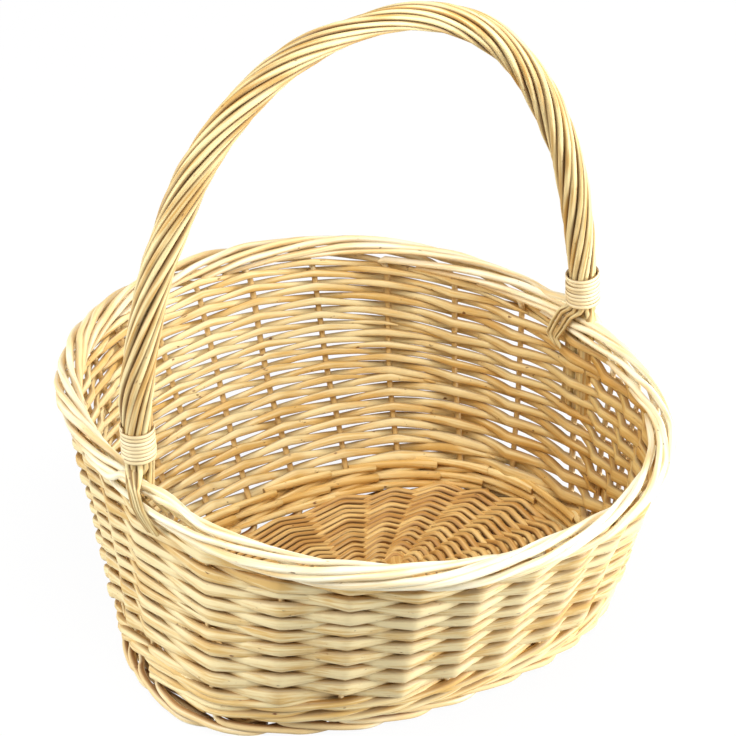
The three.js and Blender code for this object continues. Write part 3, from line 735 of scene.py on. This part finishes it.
for rod_number in range(WALE_RODS):
    rng = np.random.default_rng(200 + rod_number)
    corners = []
    for start in range(-rod_number, LAST_WALE_CROSSING + 1, WALE_RODS):
        ends_here = start + WALE_RODS > LAST_WALE_CROSSING
        for phase, side, level in WALE_STROKE[:1] if ends_here else WALE_STROKE:
            crossing = start + phase
            if 0 <= crossing <= LAST_WALE_CROSSING:
                at, _, rise, out, _ = wall_frame(crossing, wale_height(crossing))
                at = at + out * side * WALE_SWING + rise * level * WALE_HALF_STEP
                corners.append([*at, WALE_RADIUS])
    path = bent(corners, WALE_BEND, WALE_STEP)
    wale = new_bundle()
    cuts = np.linspace(0, len(path), RODS_PIECED_TOGETHER + 1).astype(int)
    for start, end in zip(cuts, cuts[1:]):
        run = path[start : end + POINTS_OVERLAPPED]
        _, _, _, out, _ = wall_frame(nearest_station(run), run[:, 2])
        tone = rng.uniform(*WALE_TONES)
        # Painted shade where the wale's rods touch, and on the side that looks in.
        lay_rod(wale, rng, run, tone, stray=0.0002, faces=faces_to(run, out), contact_shade=0.7, inner=0.7)
    node = f"upsett_rod_{rod_number + 1}"
    make_piece(f"upsett_wale_{rod_number + 1}", wale, weaver_willow, node)

# Siding
# Plain weaving, each rod outside one stake and inside the next. Sixteen rows of thick butts go all the
# way round, and seven pairs of short rows fill up the back with thinner rods and keep the rim level.
FULL_ROWS = 16
SHORT_PAIRS = ((0, 15, 25), (2, 12, 26), (5, 16, 26), (7, 10, 31), (10, 16, 24), (12, 13, 32), (14, 14, 31))
ROW_PITCHES = ((4, 1.25), (6, 1.1), (4, 1.03), (6, 0.9), (8, 1.05), (2, 0.85))
PITCH_AVERAGED_OVER = 5
ROWS_IN_NODE = 5
SIDING_NODES = 6
BACK_BEGINS = (10.4, 13.2)
BACK_ENDS = (27.4, 24.6)
# The side that looks in takes painted shade everywhere, and most round the right end, whose inside lies in
# shade.
RIGHT_END = 12
RIGHT_END_WIDTH = 3.5
INNER_SHADE_EVERYWHERE = 0.14
STEPS_IN_SPAN = (0, 0.06, 0.16, 0.32, 0.5, 0.68, 0.84, 0.94)
CORNER_ROUNDING = 0.035
LEAST_ROOM = 0.6
WEAVER_CLEARANCE = 1.05
WEAVER_BOXINESS = 3.2
WEAVER_RADII = (0.0014, 0.0060)
SIZE_BETWEEN_STAKES = 0.80
SIZE_ADDED_INSIDE = 0.22
INNER_ROW_END = 0.25
OUTER_ROW_END = 0.8
JOIN_STAKES = 4
JOIN_REACH = 3
JOIN_TAPER = 0.5
WEAVER_TONES = (0.2, 1.0)
TONE_DRIFT = 0.10
POINTS_IN_DRIFT = 8

# Each of these is one size for the front and one for the back.
BOTTOM = (0.0362, 0.0250)
TOP = (0.1432, 0.1408)
TILT = (-1.6, 0.8)
SQUEEZE = (1.42, 1.12)
FLATNESS = (0.42, 0.66)
REACH = (0.86, 1.22)
SIZE_ADDED_OUTSIDE = (0.38, 0.22)

rows = []
for row in range(FULL_ROWS):
    rows.append((0, STAKES))
    for after, first, last in SHORT_PAIRS:
        if after == row:
            rows += [(first, last), (first + 1, last - 1)]
row_pitches = np.concatenate([np.full(count, pitch) for count, pitch in ROW_PITCHES])
row_pitches = np.pad(row_pitches, PITCH_AVERAGED_OVER // 2, mode="edge")
row_pitches = np.convolve(row_pitches, np.ones(PITCH_AVERAGED_OVER) / PITCH_AVERAGED_OVER, mode="valid")


def smooth(share):
    return share * share * (3 - 2 * share)


def back_share(station):
    local = np.mod(station, STAKES)
    return smooth(np.minimum(ramp(local, *BACK_BEGINS), ramp(local, *BACK_ENDS)))


def presence(row, station):
    """How much of a row's room is there: none where a short row hasn't begun, all past its ends."""
    first, last = rows[row]
    local = np.mod(station, STAKES)
    if (first, last) == (0, STAKES):
        return np.ones_like(local)
    local = np.where(local < first - 1, local + STAKES, local)
    return np.clip(np.minimum(local - first, last - local), 0, 1)


def siding_height(place, station):
    """The height of a place, counted in rows, and what a pitch of 1 comes to at that station."""
    widths = np.stack([row_pitches[row] * presence(row, station) for row in range(len(rows))], axis=-1)
    line = np.concatenate([np.zeros((len(place), 1)), np.cumsum(widths, axis=1)], axis=1)
    whole = np.minimum(place.astype(int), len(rows) - 1)
    each = np.arange(len(place))
    laid = line[each, whole] + widths[each, whole] * (place - whole)
    bottom = blend(*BOTTOM, back_share(station))
    scale = (blend(*TOP, back_share(station)) - bottom) / line[:, -1]
    return bottom + scale * laid, scale


def siding_run(row, first, last):
    """A rod's run in a row from one station to another. It climbs to the next row as it goes round.

    Its columns are a place with the radius, the way out, how sunk it is, its painted inner shade and its
    depth.
    """
    stations = np.add.outer(np.arange(math.floor(first), math.ceil(last)), STEPS_IN_SPAN).ravel()
    stations = np.append(stations[(stations >= first) & (stations < last)], last)
    height, scale = siding_height(row + stations / STAKES, stations)
    share = back_share(stations)
    at, _, rise, out, _ = wall_frame(stations, height)
    room = row_pitches[row] * scale * np.maximum(presence(row, stations), LEAST_ROOM)
    radius = np.clip(room / rise[:, 2] / 2 * blend(*SQUEEZE, share), *WEAVER_RADII)
    nearest = np.round(stations)
    away = np.abs(stations - nearest)
    rounding = math.sqrt(0.25 + CORNER_ROUNDING**2) - CORNER_ROUNDING
    swing = 1 - (np.sqrt(away**2 + CORNER_ROUNDING**2) - CORNER_ROUNDING) / rounding
    side = np.where((nearest + row) % 2 == 0, 1, -1)
    added = np.where(side > 0, blend(*SIZE_ADDED_OUTSIDE, share), SIZE_ADDED_INSIDE)
    radius = radius * (SIZE_BETWEEN_STAKES + added * swing)
    deep = radius * blend(*FLATNESS, share)
    offset = side * swing * (STAKE_RADIUS + deep * WEAVER_CLEARANCE) * blend(*REACH, share)
    swung = out + rise * (blend(*TILT, share) * out[:, 2])[:, None]
    at = at + swung * offset[:, None]
    # Painted shade on the side that looks in, strongest round the right end.
    from_right_end = (np.mod(stations, STAKES) - RIGHT_END) / RIGHT_END_WIDTH
    inner_shading = blend(INNER_SHADE_EVERYWHERE, 1, np.exp(-(from_right_end**2)))
    return np.column_stack([at, radius, out, -side * swing, inner_shading, deep / radius])


def row_end(stake, row):
    """How far beyond its last stake a row is cut, so that its end is inside the wall."""
    return INNER_ROW_END if (stake + row) % 2 else OUTER_ROW_END


# Each run that comes round to the handle goes on in the next row that is there. A rod is pieced in
# once in a round, inside a stake of the front half.
goes_on_to = {row: STAKES for row, (starts, _) in enumerate(rows) if starts == 0}
goes_on_to.update({row: ends - STAKES for row, (_, ends) in enumerate(rows) if ends > STAKES})

siding_bundles = [new_bundle() for _ in range(SIDING_NODES)]
rng = np.random.default_rng(300)
for row, (starts, ends) in enumerate(rows):
    if starts == 0 and row > 0:
        continue
    begins = starts - row_end(starts, row) if starts > 0 else 0
    laps = [(row, begins, min(ends, STAKES))]
    while laps[-1][2] == STAKES and laps[-1][0] < max(goes_on_to):
        following = min(later for later in goes_on_to if later > laps[-1][0])
        laps.append((following, 0, goes_on_to[following]))
    last_row, last_begins, stops = laps[-1]
    if stops < STAKES:
        laps[-1] = (last_row, last_begins, stops + row_end(stops, last_row))
    joins = [0]
    bands = [row // ROWS_IN_NODE]
    laid = []
    count = 0
    for lap_row, first, last in laps:
        run = siding_run(lap_row, first, last)
        if (first, last) == (0, STAKES) and laid:
            stake = 1 + 2 * int(rng.integers(0, JOIN_STAKES)) + lap_row % 2
            joins.append(count + stake * len(STEPS_IN_SPAN))
            bands.append(lap_row // ROWS_IN_NODE)
        laid.append(run if lap_row == last_row else run[:-1])
        count += len(laid[-1])
    laid = np.concatenate(laid)
    joins.append(count)
    for start, end, band in zip(joins, joins[1:], bands):
        run = laid[max(start - JOIN_REACH, 0) : end + JOIN_REACH].copy()
        from_end = np.minimum(np.arange(len(run)), np.arange(len(run))[::-1])
        run[:, 3] *= np.interp(from_end, [0, JOIN_REACH], [JOIN_TAPER, 1])
        tone = rng.uniform(*WEAVER_TONES) + TONE_DRIFT * wander(rng, np.arange(len(run)), POINTS_IN_DRIFT)
        # Painted shade between the rows, on the outer side where a rod goes in behind a stake, and on the
        # side that looks in.
        lay_rod(
            siding_bundles[band], rng, run[:, :4], tone, deep=run[:, 9], stray=0.0002,
            faces=faces_to(run, run[:, 4:7]), contact_shade=0.65, inner=run[:, 8], boxy=WEAVER_BOXINESS,
            sunk=run[:, 7],
        )

# The butts that the weaving and the wales started from lie inside in three rounds, each at a height
# and an inset and from one stake to another. Every butt goes out to the weaving before the next stake.
BUTT_ROUNDS = ((0.0243, 0.0058, 11, 28), (0.0182, 0.0052, 0, STAKES), (0.0124, 0.0040, 0, STAKES))
BUTT_ROD_RADIUS = 0.0028
BUTT_SIZES = (0.75, 1.0)
BUTT_TAPER = 0.3
BUTT_STARTS_BEFORE = (0.4, 0.65)
BUTT_SPANS = (1.3, 1.7)
BUTT_UNEVENNESS = 0.0005
BUTT_RISE = 0.0015
BUTT_GOES_OUT = 0.0045
BUTT_TONES = (0.1, 0.6)
POINTS_IN_BUTT = 12

for height, inset, first, last in BUTT_ROUNDS:
    for stake in range(first, last):
        share = np.linspace(0, 1, POINTS_IN_BUTT)
        start = stake - rng.uniform(*BUTT_STARTS_BEFORE)
        stations = start + share * rng.uniform(*BUTT_SPANS)
        heights = height + rng.normal(0, BUTT_UNEVENNESS) + BUTT_RISE * share
        at, _, _, out, _ = wall_frame(stations, heights)
        inward = inset - BUTT_GOES_OUT * ramp(share, 0.5, 1) ** 2
        radii = BUTT_ROD_RADIUS * rng.uniform(*BUTT_SIZES) * (1 - BUTT_TAPER * share)
        path = np.concatenate([at - out * inward[:, None], radii[:, None]], axis=1)
        tone = rng.uniform(*BUTT_TONES)
        # Painted shade on the side that looks in.
        lay_rod(siding_bundles[0], rng, path, tone, faces=faces_to(path, out), inner=0.6)
for number, band in enumerate(siding_bundles):
    node = f"siding_weaver_{number + 1:02d}"
    make_piece(f"siding_rods_{number + 1:02d}", band, weaver_willow, node)

# Handle bow
# One thick rod bent to a high arch. It carries the load, and its thinned ends stand in the border over
# the two handle stakes. The roping hides all but slivers of it.
HANDLE_RISE = 0.251
ARCH_SQUARENESS = (2.32, 2.24)
THICKNESS_ALONG_HANDLE = (1, 1, 1.04, 1, 0.78, 0.96, 1, 0.95, 0.92)
BOW_RADIUS = 0.0048
BOW_END_RADIUS = 0.002
BOW_FULL_AT = 0.03
BOW_POINTS = 170
ROPE_START = 0.0130
FRONT_FOOT_INWARD = 0.0040
FRONT_FOOT_HEIGHT = 0.075
ARCH_STEPS = 1200

arch_turns = np.linspace(0, math.pi, ARCH_STEPS + 1)
in_front = arch_turns < math.pi / 2
arch_squareness = np.where(in_front, *ARCH_SQUARENESS)
arch_y = -RIM_HALF_WIDTH * power_of(np.cos(arch_turns), arch_squareness)
arch_z = RIM_HEIGHT + HANDLE_RISE * power_of(np.sin(arch_turns), arch_squareness)
low = ramp(arch_z, RIM_HEIGHT + FRONT_FOOT_HEIGHT, RIM_HEIGHT) * in_front
arch_y = arch_y + FRONT_FOOT_INWARD * smooth(low)
arch_line = np.stack([np.zeros_like(arch_turns), arch_y, arch_z], axis=1)
arch_arc = length_along(arch_line)
ARCH_LENGTH = arch_arc[-1]
arch_along = unit(np.gradient(arch_line, axis=0))


def arch_frame(distance):
    """A place on the handle's arch, and the ways along it and out of it."""
    distance = np.asarray(distance, float)
    at = np.stack([np.interp(distance, arch_arc, column) for column in arch_line.T], axis=-1)
    along = unit(np.stack([np.interp(distance, arch_arc, column) for column in arch_along.T], axis=-1))
    out = np.stack([np.zeros_like(distance), -along[..., 2], along[..., 1]], axis=-1)
    return at, along, out


def handle_thickness(distance):
    places = np.linspace(0, ARCH_LENGTH, len(THICKNESS_ALONG_HANDLE))
    return np.interp(distance, places, THICKNESS_ALONG_HANDLE)


handle_willow = willow(
    "Handle willow", pale=(238, 220, 164), deep=(198, 156, 84), contact_shade=(94, 52, 10), scar=(112, 68, 30),
    streaks=1.2, scars=0.8,
)

distances = np.linspace(0, ARCH_LENGTH, BOW_POINTS)
from_end = np.minimum(distances, ARCH_LENGTH - distances)
radii = np.interp(from_end, [0, ROPE_START, BOW_FULL_AT], [BOW_END_RADIUS, BOW_END_RADIUS, BOW_RADIUS])
radii = radii * handle_thickness(distances)
bow = new_bundle()
rng = np.random.default_rng(400)
path = np.concatenate([arch_frame(distances)[0], radii[:, None]], axis=1)
# Painted shade: the bow is given a dark tone and a fully shaded side, so that the gaps in the roping look
# shaded.
lay_rod(bow, rng, path, tone=0.2, sides=12, inner=1.0, faces=faces_along(path, -UP))
make_piece("handle_core_rod", bow, handle_willow, "handle_bow")

# Handle roping
# Twelve thinner rods laid side by side, wound round the bow with a right-handed twist and straight at
# the feet. The side ones go down into the wall as butts. Others end in split tails or are cut off.
ROPING_NODES = 8
ROPING_TURNS = 21 / 8
ROPING_CENTRE = 0.0078
ROPING_FOOT_CENTRE = 0.0070
ROPING_SLACK = 0.0003
ROPING_SIZES = (0.94, 1.08)
ROPING_TONES = (0.2, 0.95)
ROPING_POINTS = 260
ROPING_STEP = 0.003
ROPING_FULL_AFTER = 0.03
THICK_ROPING_RADIUS = 0.00235
THIN_ROPING_RADIUS = 0.00195
BINDING_WRAPS = 8
BINDING_PITCH = 0.0025
BINDING_START = 0.0164
TWIST_START = BINDING_START + BINDING_WRAPS * BINDING_PITCH
BORDER_TOP = RIM_HEIGHT + 0.0079
BUTT_LENGTH = 0.058
BUTT_BESIDE = 0.0040
BACK_BUTT_SPREAD = 0.0095
BACK_BUTT_BESIDE = 0.0045
SIDE_ROD_OUTWARD = 0.3
CUT_OFF_BESIDE = 0.005
CUT_OFF_TAPER = 0.9
TAIL_RADIUS = 0.0011
TAIL_FAN = 0.0085

# Each of these is for the front foot and for the back foot. A corner of a tail is how far it has swept
# along the wall, its share of the fan, the drop below the rim and the way out from the wall.
BUTT_RADII = (0.0019, 0.0029)
CUT_OFF_DROPS = (0.008, -0.002)
CUT_OFF_OUTS = (0.0095, 0.004)
TAILS = (
    (
        (0.0135, 0.7, -0.0085, 0.0090),
        (0.0180, 0.7, 0.003, 0.0090),
        (0.0215, 0.7, 0.012, 0.0070),
        (0.0255, 0.5, 0.018, 0.0052),
    ),
    (
        (0.003, 1, -0.0085, 0.0083),
        (0.010, 1, 0.003, 0.0083),
        (0.015, 0.8, 0.012, 0.0083),
        (0.010, 0.5, 0.017, 0.0075),
    ),
)


def beside(handle_stake, metres, height):
    """The station that lies this far along the wall from a handle stake."""
    next_stake = handle_stake + math.copysign(1, metres)
    span = np.linalg.norm(wall_point(handle_stake, height) - wall_point(next_stake, height))
    return handle_stake + metres / span


def roping_path(turn_at_start, radius, slack):
    distance = np.linspace(ROPE_START, ARCH_LENGTH - ROPE_START, ROPING_POINTS)
    at, _, out = arch_frame(distance)
    turn = turn_at_start + 2 * math.pi * ROPING_TURNS * ramp(distance, TWIST_START, ARCH_LENGTH - TWIST_START)
    face = out * np.cos(turn)[:, None] + np.array([1.0, 0, 0]) * np.sin(turn)[:, None]
    from_foot = np.minimum(distance, ARCH_LENGTH - distance)
    full = ramp(from_foot, TWIST_START, TWIST_START + ROPING_FULL_AFTER)
    thickness = handle_thickness(distance)
    centre = blend(ROPING_FOOT_CENTRE, ROPING_CENTRE, full) * thickness + slack
    at = at + face * centre[:, None]
    return np.concatenate([at, (radius * thickness)[:, None]], axis=1), face


def foot_end(face, handle_stake, radius):
    """How a roping rod ends below the binding: a butt in the wall, split tails, or cut off at the border."""
    _, along, _, _, level = wall_frame(handle_stake, RIM_HEIGHT)
    outward = face @ level
    towards = np.sign(face @ along)
    at_back = handle_stake != HANDLE_STAKES[0]
    side = -1 if at_back else 1
    if abs(outward) < SIDE_ROD_OUTWARD or (at_back and outward > 0):
        away = max(BACK_BUTT_SPREAD * abs(face @ along), BACK_BUTT_BESIDE) if at_back else BUTT_BESIDE
        places = []
        for height in (BORDER_TOP, RIM_HEIGHT - BUTT_LENGTH):
            station = beside(handle_stake, towards * away, height)
            places.append([*wall_point(station, height), BUTT_RADII[at_back]])
        return places
    if np.sign(outward) != side:
        station = beside(handle_stake, towards * CUT_OFF_BESIDE, RIM_HEIGHT)
        at = wall_point(station, RIM_HEIGHT - CUT_OFF_DROPS[at_back])
        at = at + level * outward * CUT_OFF_OUTS[at_back]
        return [[*at, radius * CUT_OFF_TAPER]]
    fan = towards * TAIL_FAN * math.sqrt(1 - outward * outward)
    places = []
    for sweep, fanned, drop, out in TAILS[at_back]:
        station = beside(handle_stake, sweep + fan * fanned, RIM_HEIGHT)
        height = RIM_HEIGHT - drop
        out = side * (out + TAIL_RADIUS)
        places.append(stroke_place(station, out, height, min(height, RIM_HEIGHT), TAIL_RADIUS)[:4])
    return places


thick_share = THICK_ROPING_RADIUS / (THICK_ROPING_RADIUS + 2 * THIN_ROPING_RADIUS)
apart = math.pi / 2 * (1 - thick_share) / 4
for number in range(ROPING_NODES):
    rng = np.random.default_rng(500 + number)
    rope = new_bundle()
    middle = number * 2 * math.pi / ROPING_NODES
    if number % 2 == 0:
        laid = [(middle, THICK_ROPING_RADIUS)]
    else:
        laid = [(middle - apart, THIN_ROPING_RADIUS), (middle + apart, THIN_ROPING_RADIUS)]
    for turn, radius in laid:
        radius *= rng.uniform(*ROPING_SIZES)
        path, face = roping_path(turn, radius, rng.normal(0, ROPING_SLACK))
        tone = rng.uniform(*ROPING_TONES)
        front = foot_end(face[0], HANDLE_STAKES[0], radius)
        back = foot_end(face[-1], HANDLE_STAKES[1], radius)
        whole = np.concatenate([np.array(front[::-1]), path, np.array(back)])
        looks = np.concatenate([[face[0]] * len(front), face, [face[-1]] * len(back)])
        whole = run_of(np.concatenate([whole, looks], axis=1), ROPING_STEP)
        # Painted shade: strong where the roped rods touch above the border, less below it, and on the side
        # against the bow.
        contact_shade = np.where(whole[:, 2] > BORDER_TOP, 0.95, 0.5)
        faces = faces_to(whole, whole[:, 4:])
        lay_rod(rope, rng, whole[:, :4], tone, stray=0.00028, faces=faces, contact_shade=contact_shade, inner=0.6)
    node = f"handle_roping_{number + 1}"
    make_piece(f"handle_rope_rod_{number + 1}", rope, handle_willow, node)

# Bindings
# Skein, a thin flat strip split from a willow rod, wound tightly eight times round each foot of the
# handle. It holds the roping rods to the bow above the border.
BINDING_RADIUS = 0.0098
FRONT_BINDING_RAISE = 0.0030
BINDING_SLACK = 0.00015
BINDING_SLACK_SPACING = 0.03
SKEIN_HALF_WIDTH = 0.00125
STEPS_IN_WRAP = 36

skein_willow = willow(
    "Skein", pale=(252, 238, 196), deep=(230, 202, 142), contact_shade=(120, 76, 30), scar=(150, 104, 54),
    streaks=0.5, scars=0.3,
)

for name, towards, raised in (("front", 1, FRONT_BINDING_RAISE), ("back", -1, 0)):
    rng = np.random.default_rng(600 + towards)
    share = np.linspace(0, 1, BINDING_WRAPS * STEPS_IN_WRAP + 1)
    climbed = BINDING_START + raised + BINDING_WRAPS * BINDING_PITCH * share
    at, _, out = arch_frame(climbed if towards > 0 else ARCH_LENGTH - climbed)
    turn = 2 * math.pi * BINDING_WRAPS * share
    face = out * np.cos(turn)[:, None] + np.array([towards, 0, 0]) * np.sin(turn)[:, None]
    reach = BINDING_RADIUS + BINDING_SLACK * wander(rng, share + 1e-9, BINDING_SLACK_SPACING)
    path = np.column_stack([at + face * reach[:, None], np.full(len(share), SKEIN_HALF_WIDTH)])
    strip = new_bundle()
    # Painted shade along the edges of the skein where the wraps touch.
    lay_rod(
        strip, rng, path, tone=0.7, deep=0.42, faces=faces_to(path, face), slant=(0, 0), contact_shade=0.95,
        boxy=2.6,
    )
    make_piece(f"skein_binding_{name}", strip, skein_willow, f"handle_binding_{name}")

# Stand, light and camera
# A plain white floor, a soft lamp on the right, a weaker one on the left and a large one overhead. The
# floor and the air are white to the eye, and darker in what they throw on the basket.
FLOOR_GLOW_SHARE = 0.9
LAMPS_LOOK_AT = (0, 0, 0.12)
LAMPS = (
    ("left_lamp", (-0.79, -1.62, 0.28), 0.6, 19),
    ("right_lamp", (1.22, 1.32, 0.40), 0.8, 47),
    ("top_lamp", (0.74, -0.50, 2.2), 2.2, 70),
)
VIEW_AZIMUTH = math.radians(55.86)
VIEW_ELEVATION = math.radians(31.88)
VIEW_DISTANCE = 3.658
VIEW_HEIGHT = 0.150


def white_when_seen(tree, lit, white, target, most):
    """Mixes the white in for the rays of the camera, of mirrors and of clear things alone."""
    seen = tree.nodes.new("ShaderNodeLightPath").outputs
    factor = seen["Is Camera Ray"]
    steps = (("MAXIMUM", seen["Is Glossy Ray"]), ("MAXIMUM", seen["Is Transmission Ray"]), ("MULTIPLY", most))
    for operation, value in steps:
        node = tree.nodes.new("ShaderNodeMath")
        node.operation = operation
        feed(tree, node.inputs[0], factor)
        feed(tree, node.inputs[1], value)
        factor = node.outputs[0]
    either = tree.nodes.new("ShaderNodeMixShader")
    for socket, value in zip(either.inputs, (factor, lit.outputs[0], white.outputs[0])):
        feed(tree, socket, value)
    feed(tree, target.inputs["Surface"], either.outputs[0])


bpy.ops.mesh.primitive_plane_add(size=12, location=(0, 0, 0))
floor = bpy.context.object
floor.name = "studio_floor"
floor_paint = bpy.data.materials.new("White floor")
floor_paint.use_nodes = True
paint = floor_paint.node_tree
matt = paint.nodes["Principled BSDF"]
matt.inputs["Base Color"].default_value = (0.42, 0.42, 0.42, 1)
matt.inputs["Roughness"].default_value = 0.9
glow = paint.nodes.new("ShaderNodeEmission")
glow.inputs["Strength"].default_value = 1.06
white_when_seen(paint, matt, glow, paint.nodes["Material Output"], FLOOR_GLOW_SHARE)
floor.data.materials.append(floor_paint)

world = bpy.data.worlds.new("Studio")
bpy.context.scene.world = world
world.use_nodes = True
air = world.node_tree
dim = air.nodes["Background"]
dim.inputs["Color"].default_value = (1, 1, 1, 1)
dim.inputs["Strength"].default_value = 0.23
backdrop = air.nodes.new("ShaderNodeBackground")
backdrop.inputs["Strength"].default_value = 1.0
white_when_seen(air, dim, backdrop, air.nodes["World Output"], 1.0)

for name, place, size, power in LAMPS:
    bpy.ops.object.light_add(type="AREA", location=place)
    lamp = bpy.context.object
    lamp.name = name
    lamp.data.size = size
    lamp.data.energy = power
    towards = Vector(LAMPS_LOOK_AT) - Vector(place)
    lamp.rotation_euler = towards.to_track_quat("-Z", "Y").to_euler()

bpy.ops.object.camera_add()
camera = bpy.context.object
camera.name = "photo_camera"
back = Vector((
    math.sin(VIEW_AZIMUTH) * math.cos(VIEW_ELEVATION),
    -math.cos(VIEW_AZIMUTH) * math.cos(VIEW_ELEVATION),
    math.sin(VIEW_ELEVATION),
))
camera.location = Vector((0, 0, VIEW_HEIGHT)) + back * VIEW_DISTANCE
camera.rotation_euler = back.to_track_quat("Z", "Y").to_euler()
camera.data.lens = 304.5
camera.data.sensor_width = 36
camera.data.shift_x = 0.0066
camera.data.shift_y = 0.0476
camera.data.clip_end = 50
bpy.context.scene.camera = camera
bpy.context.scene.view_settings.view_transform = "Standard"
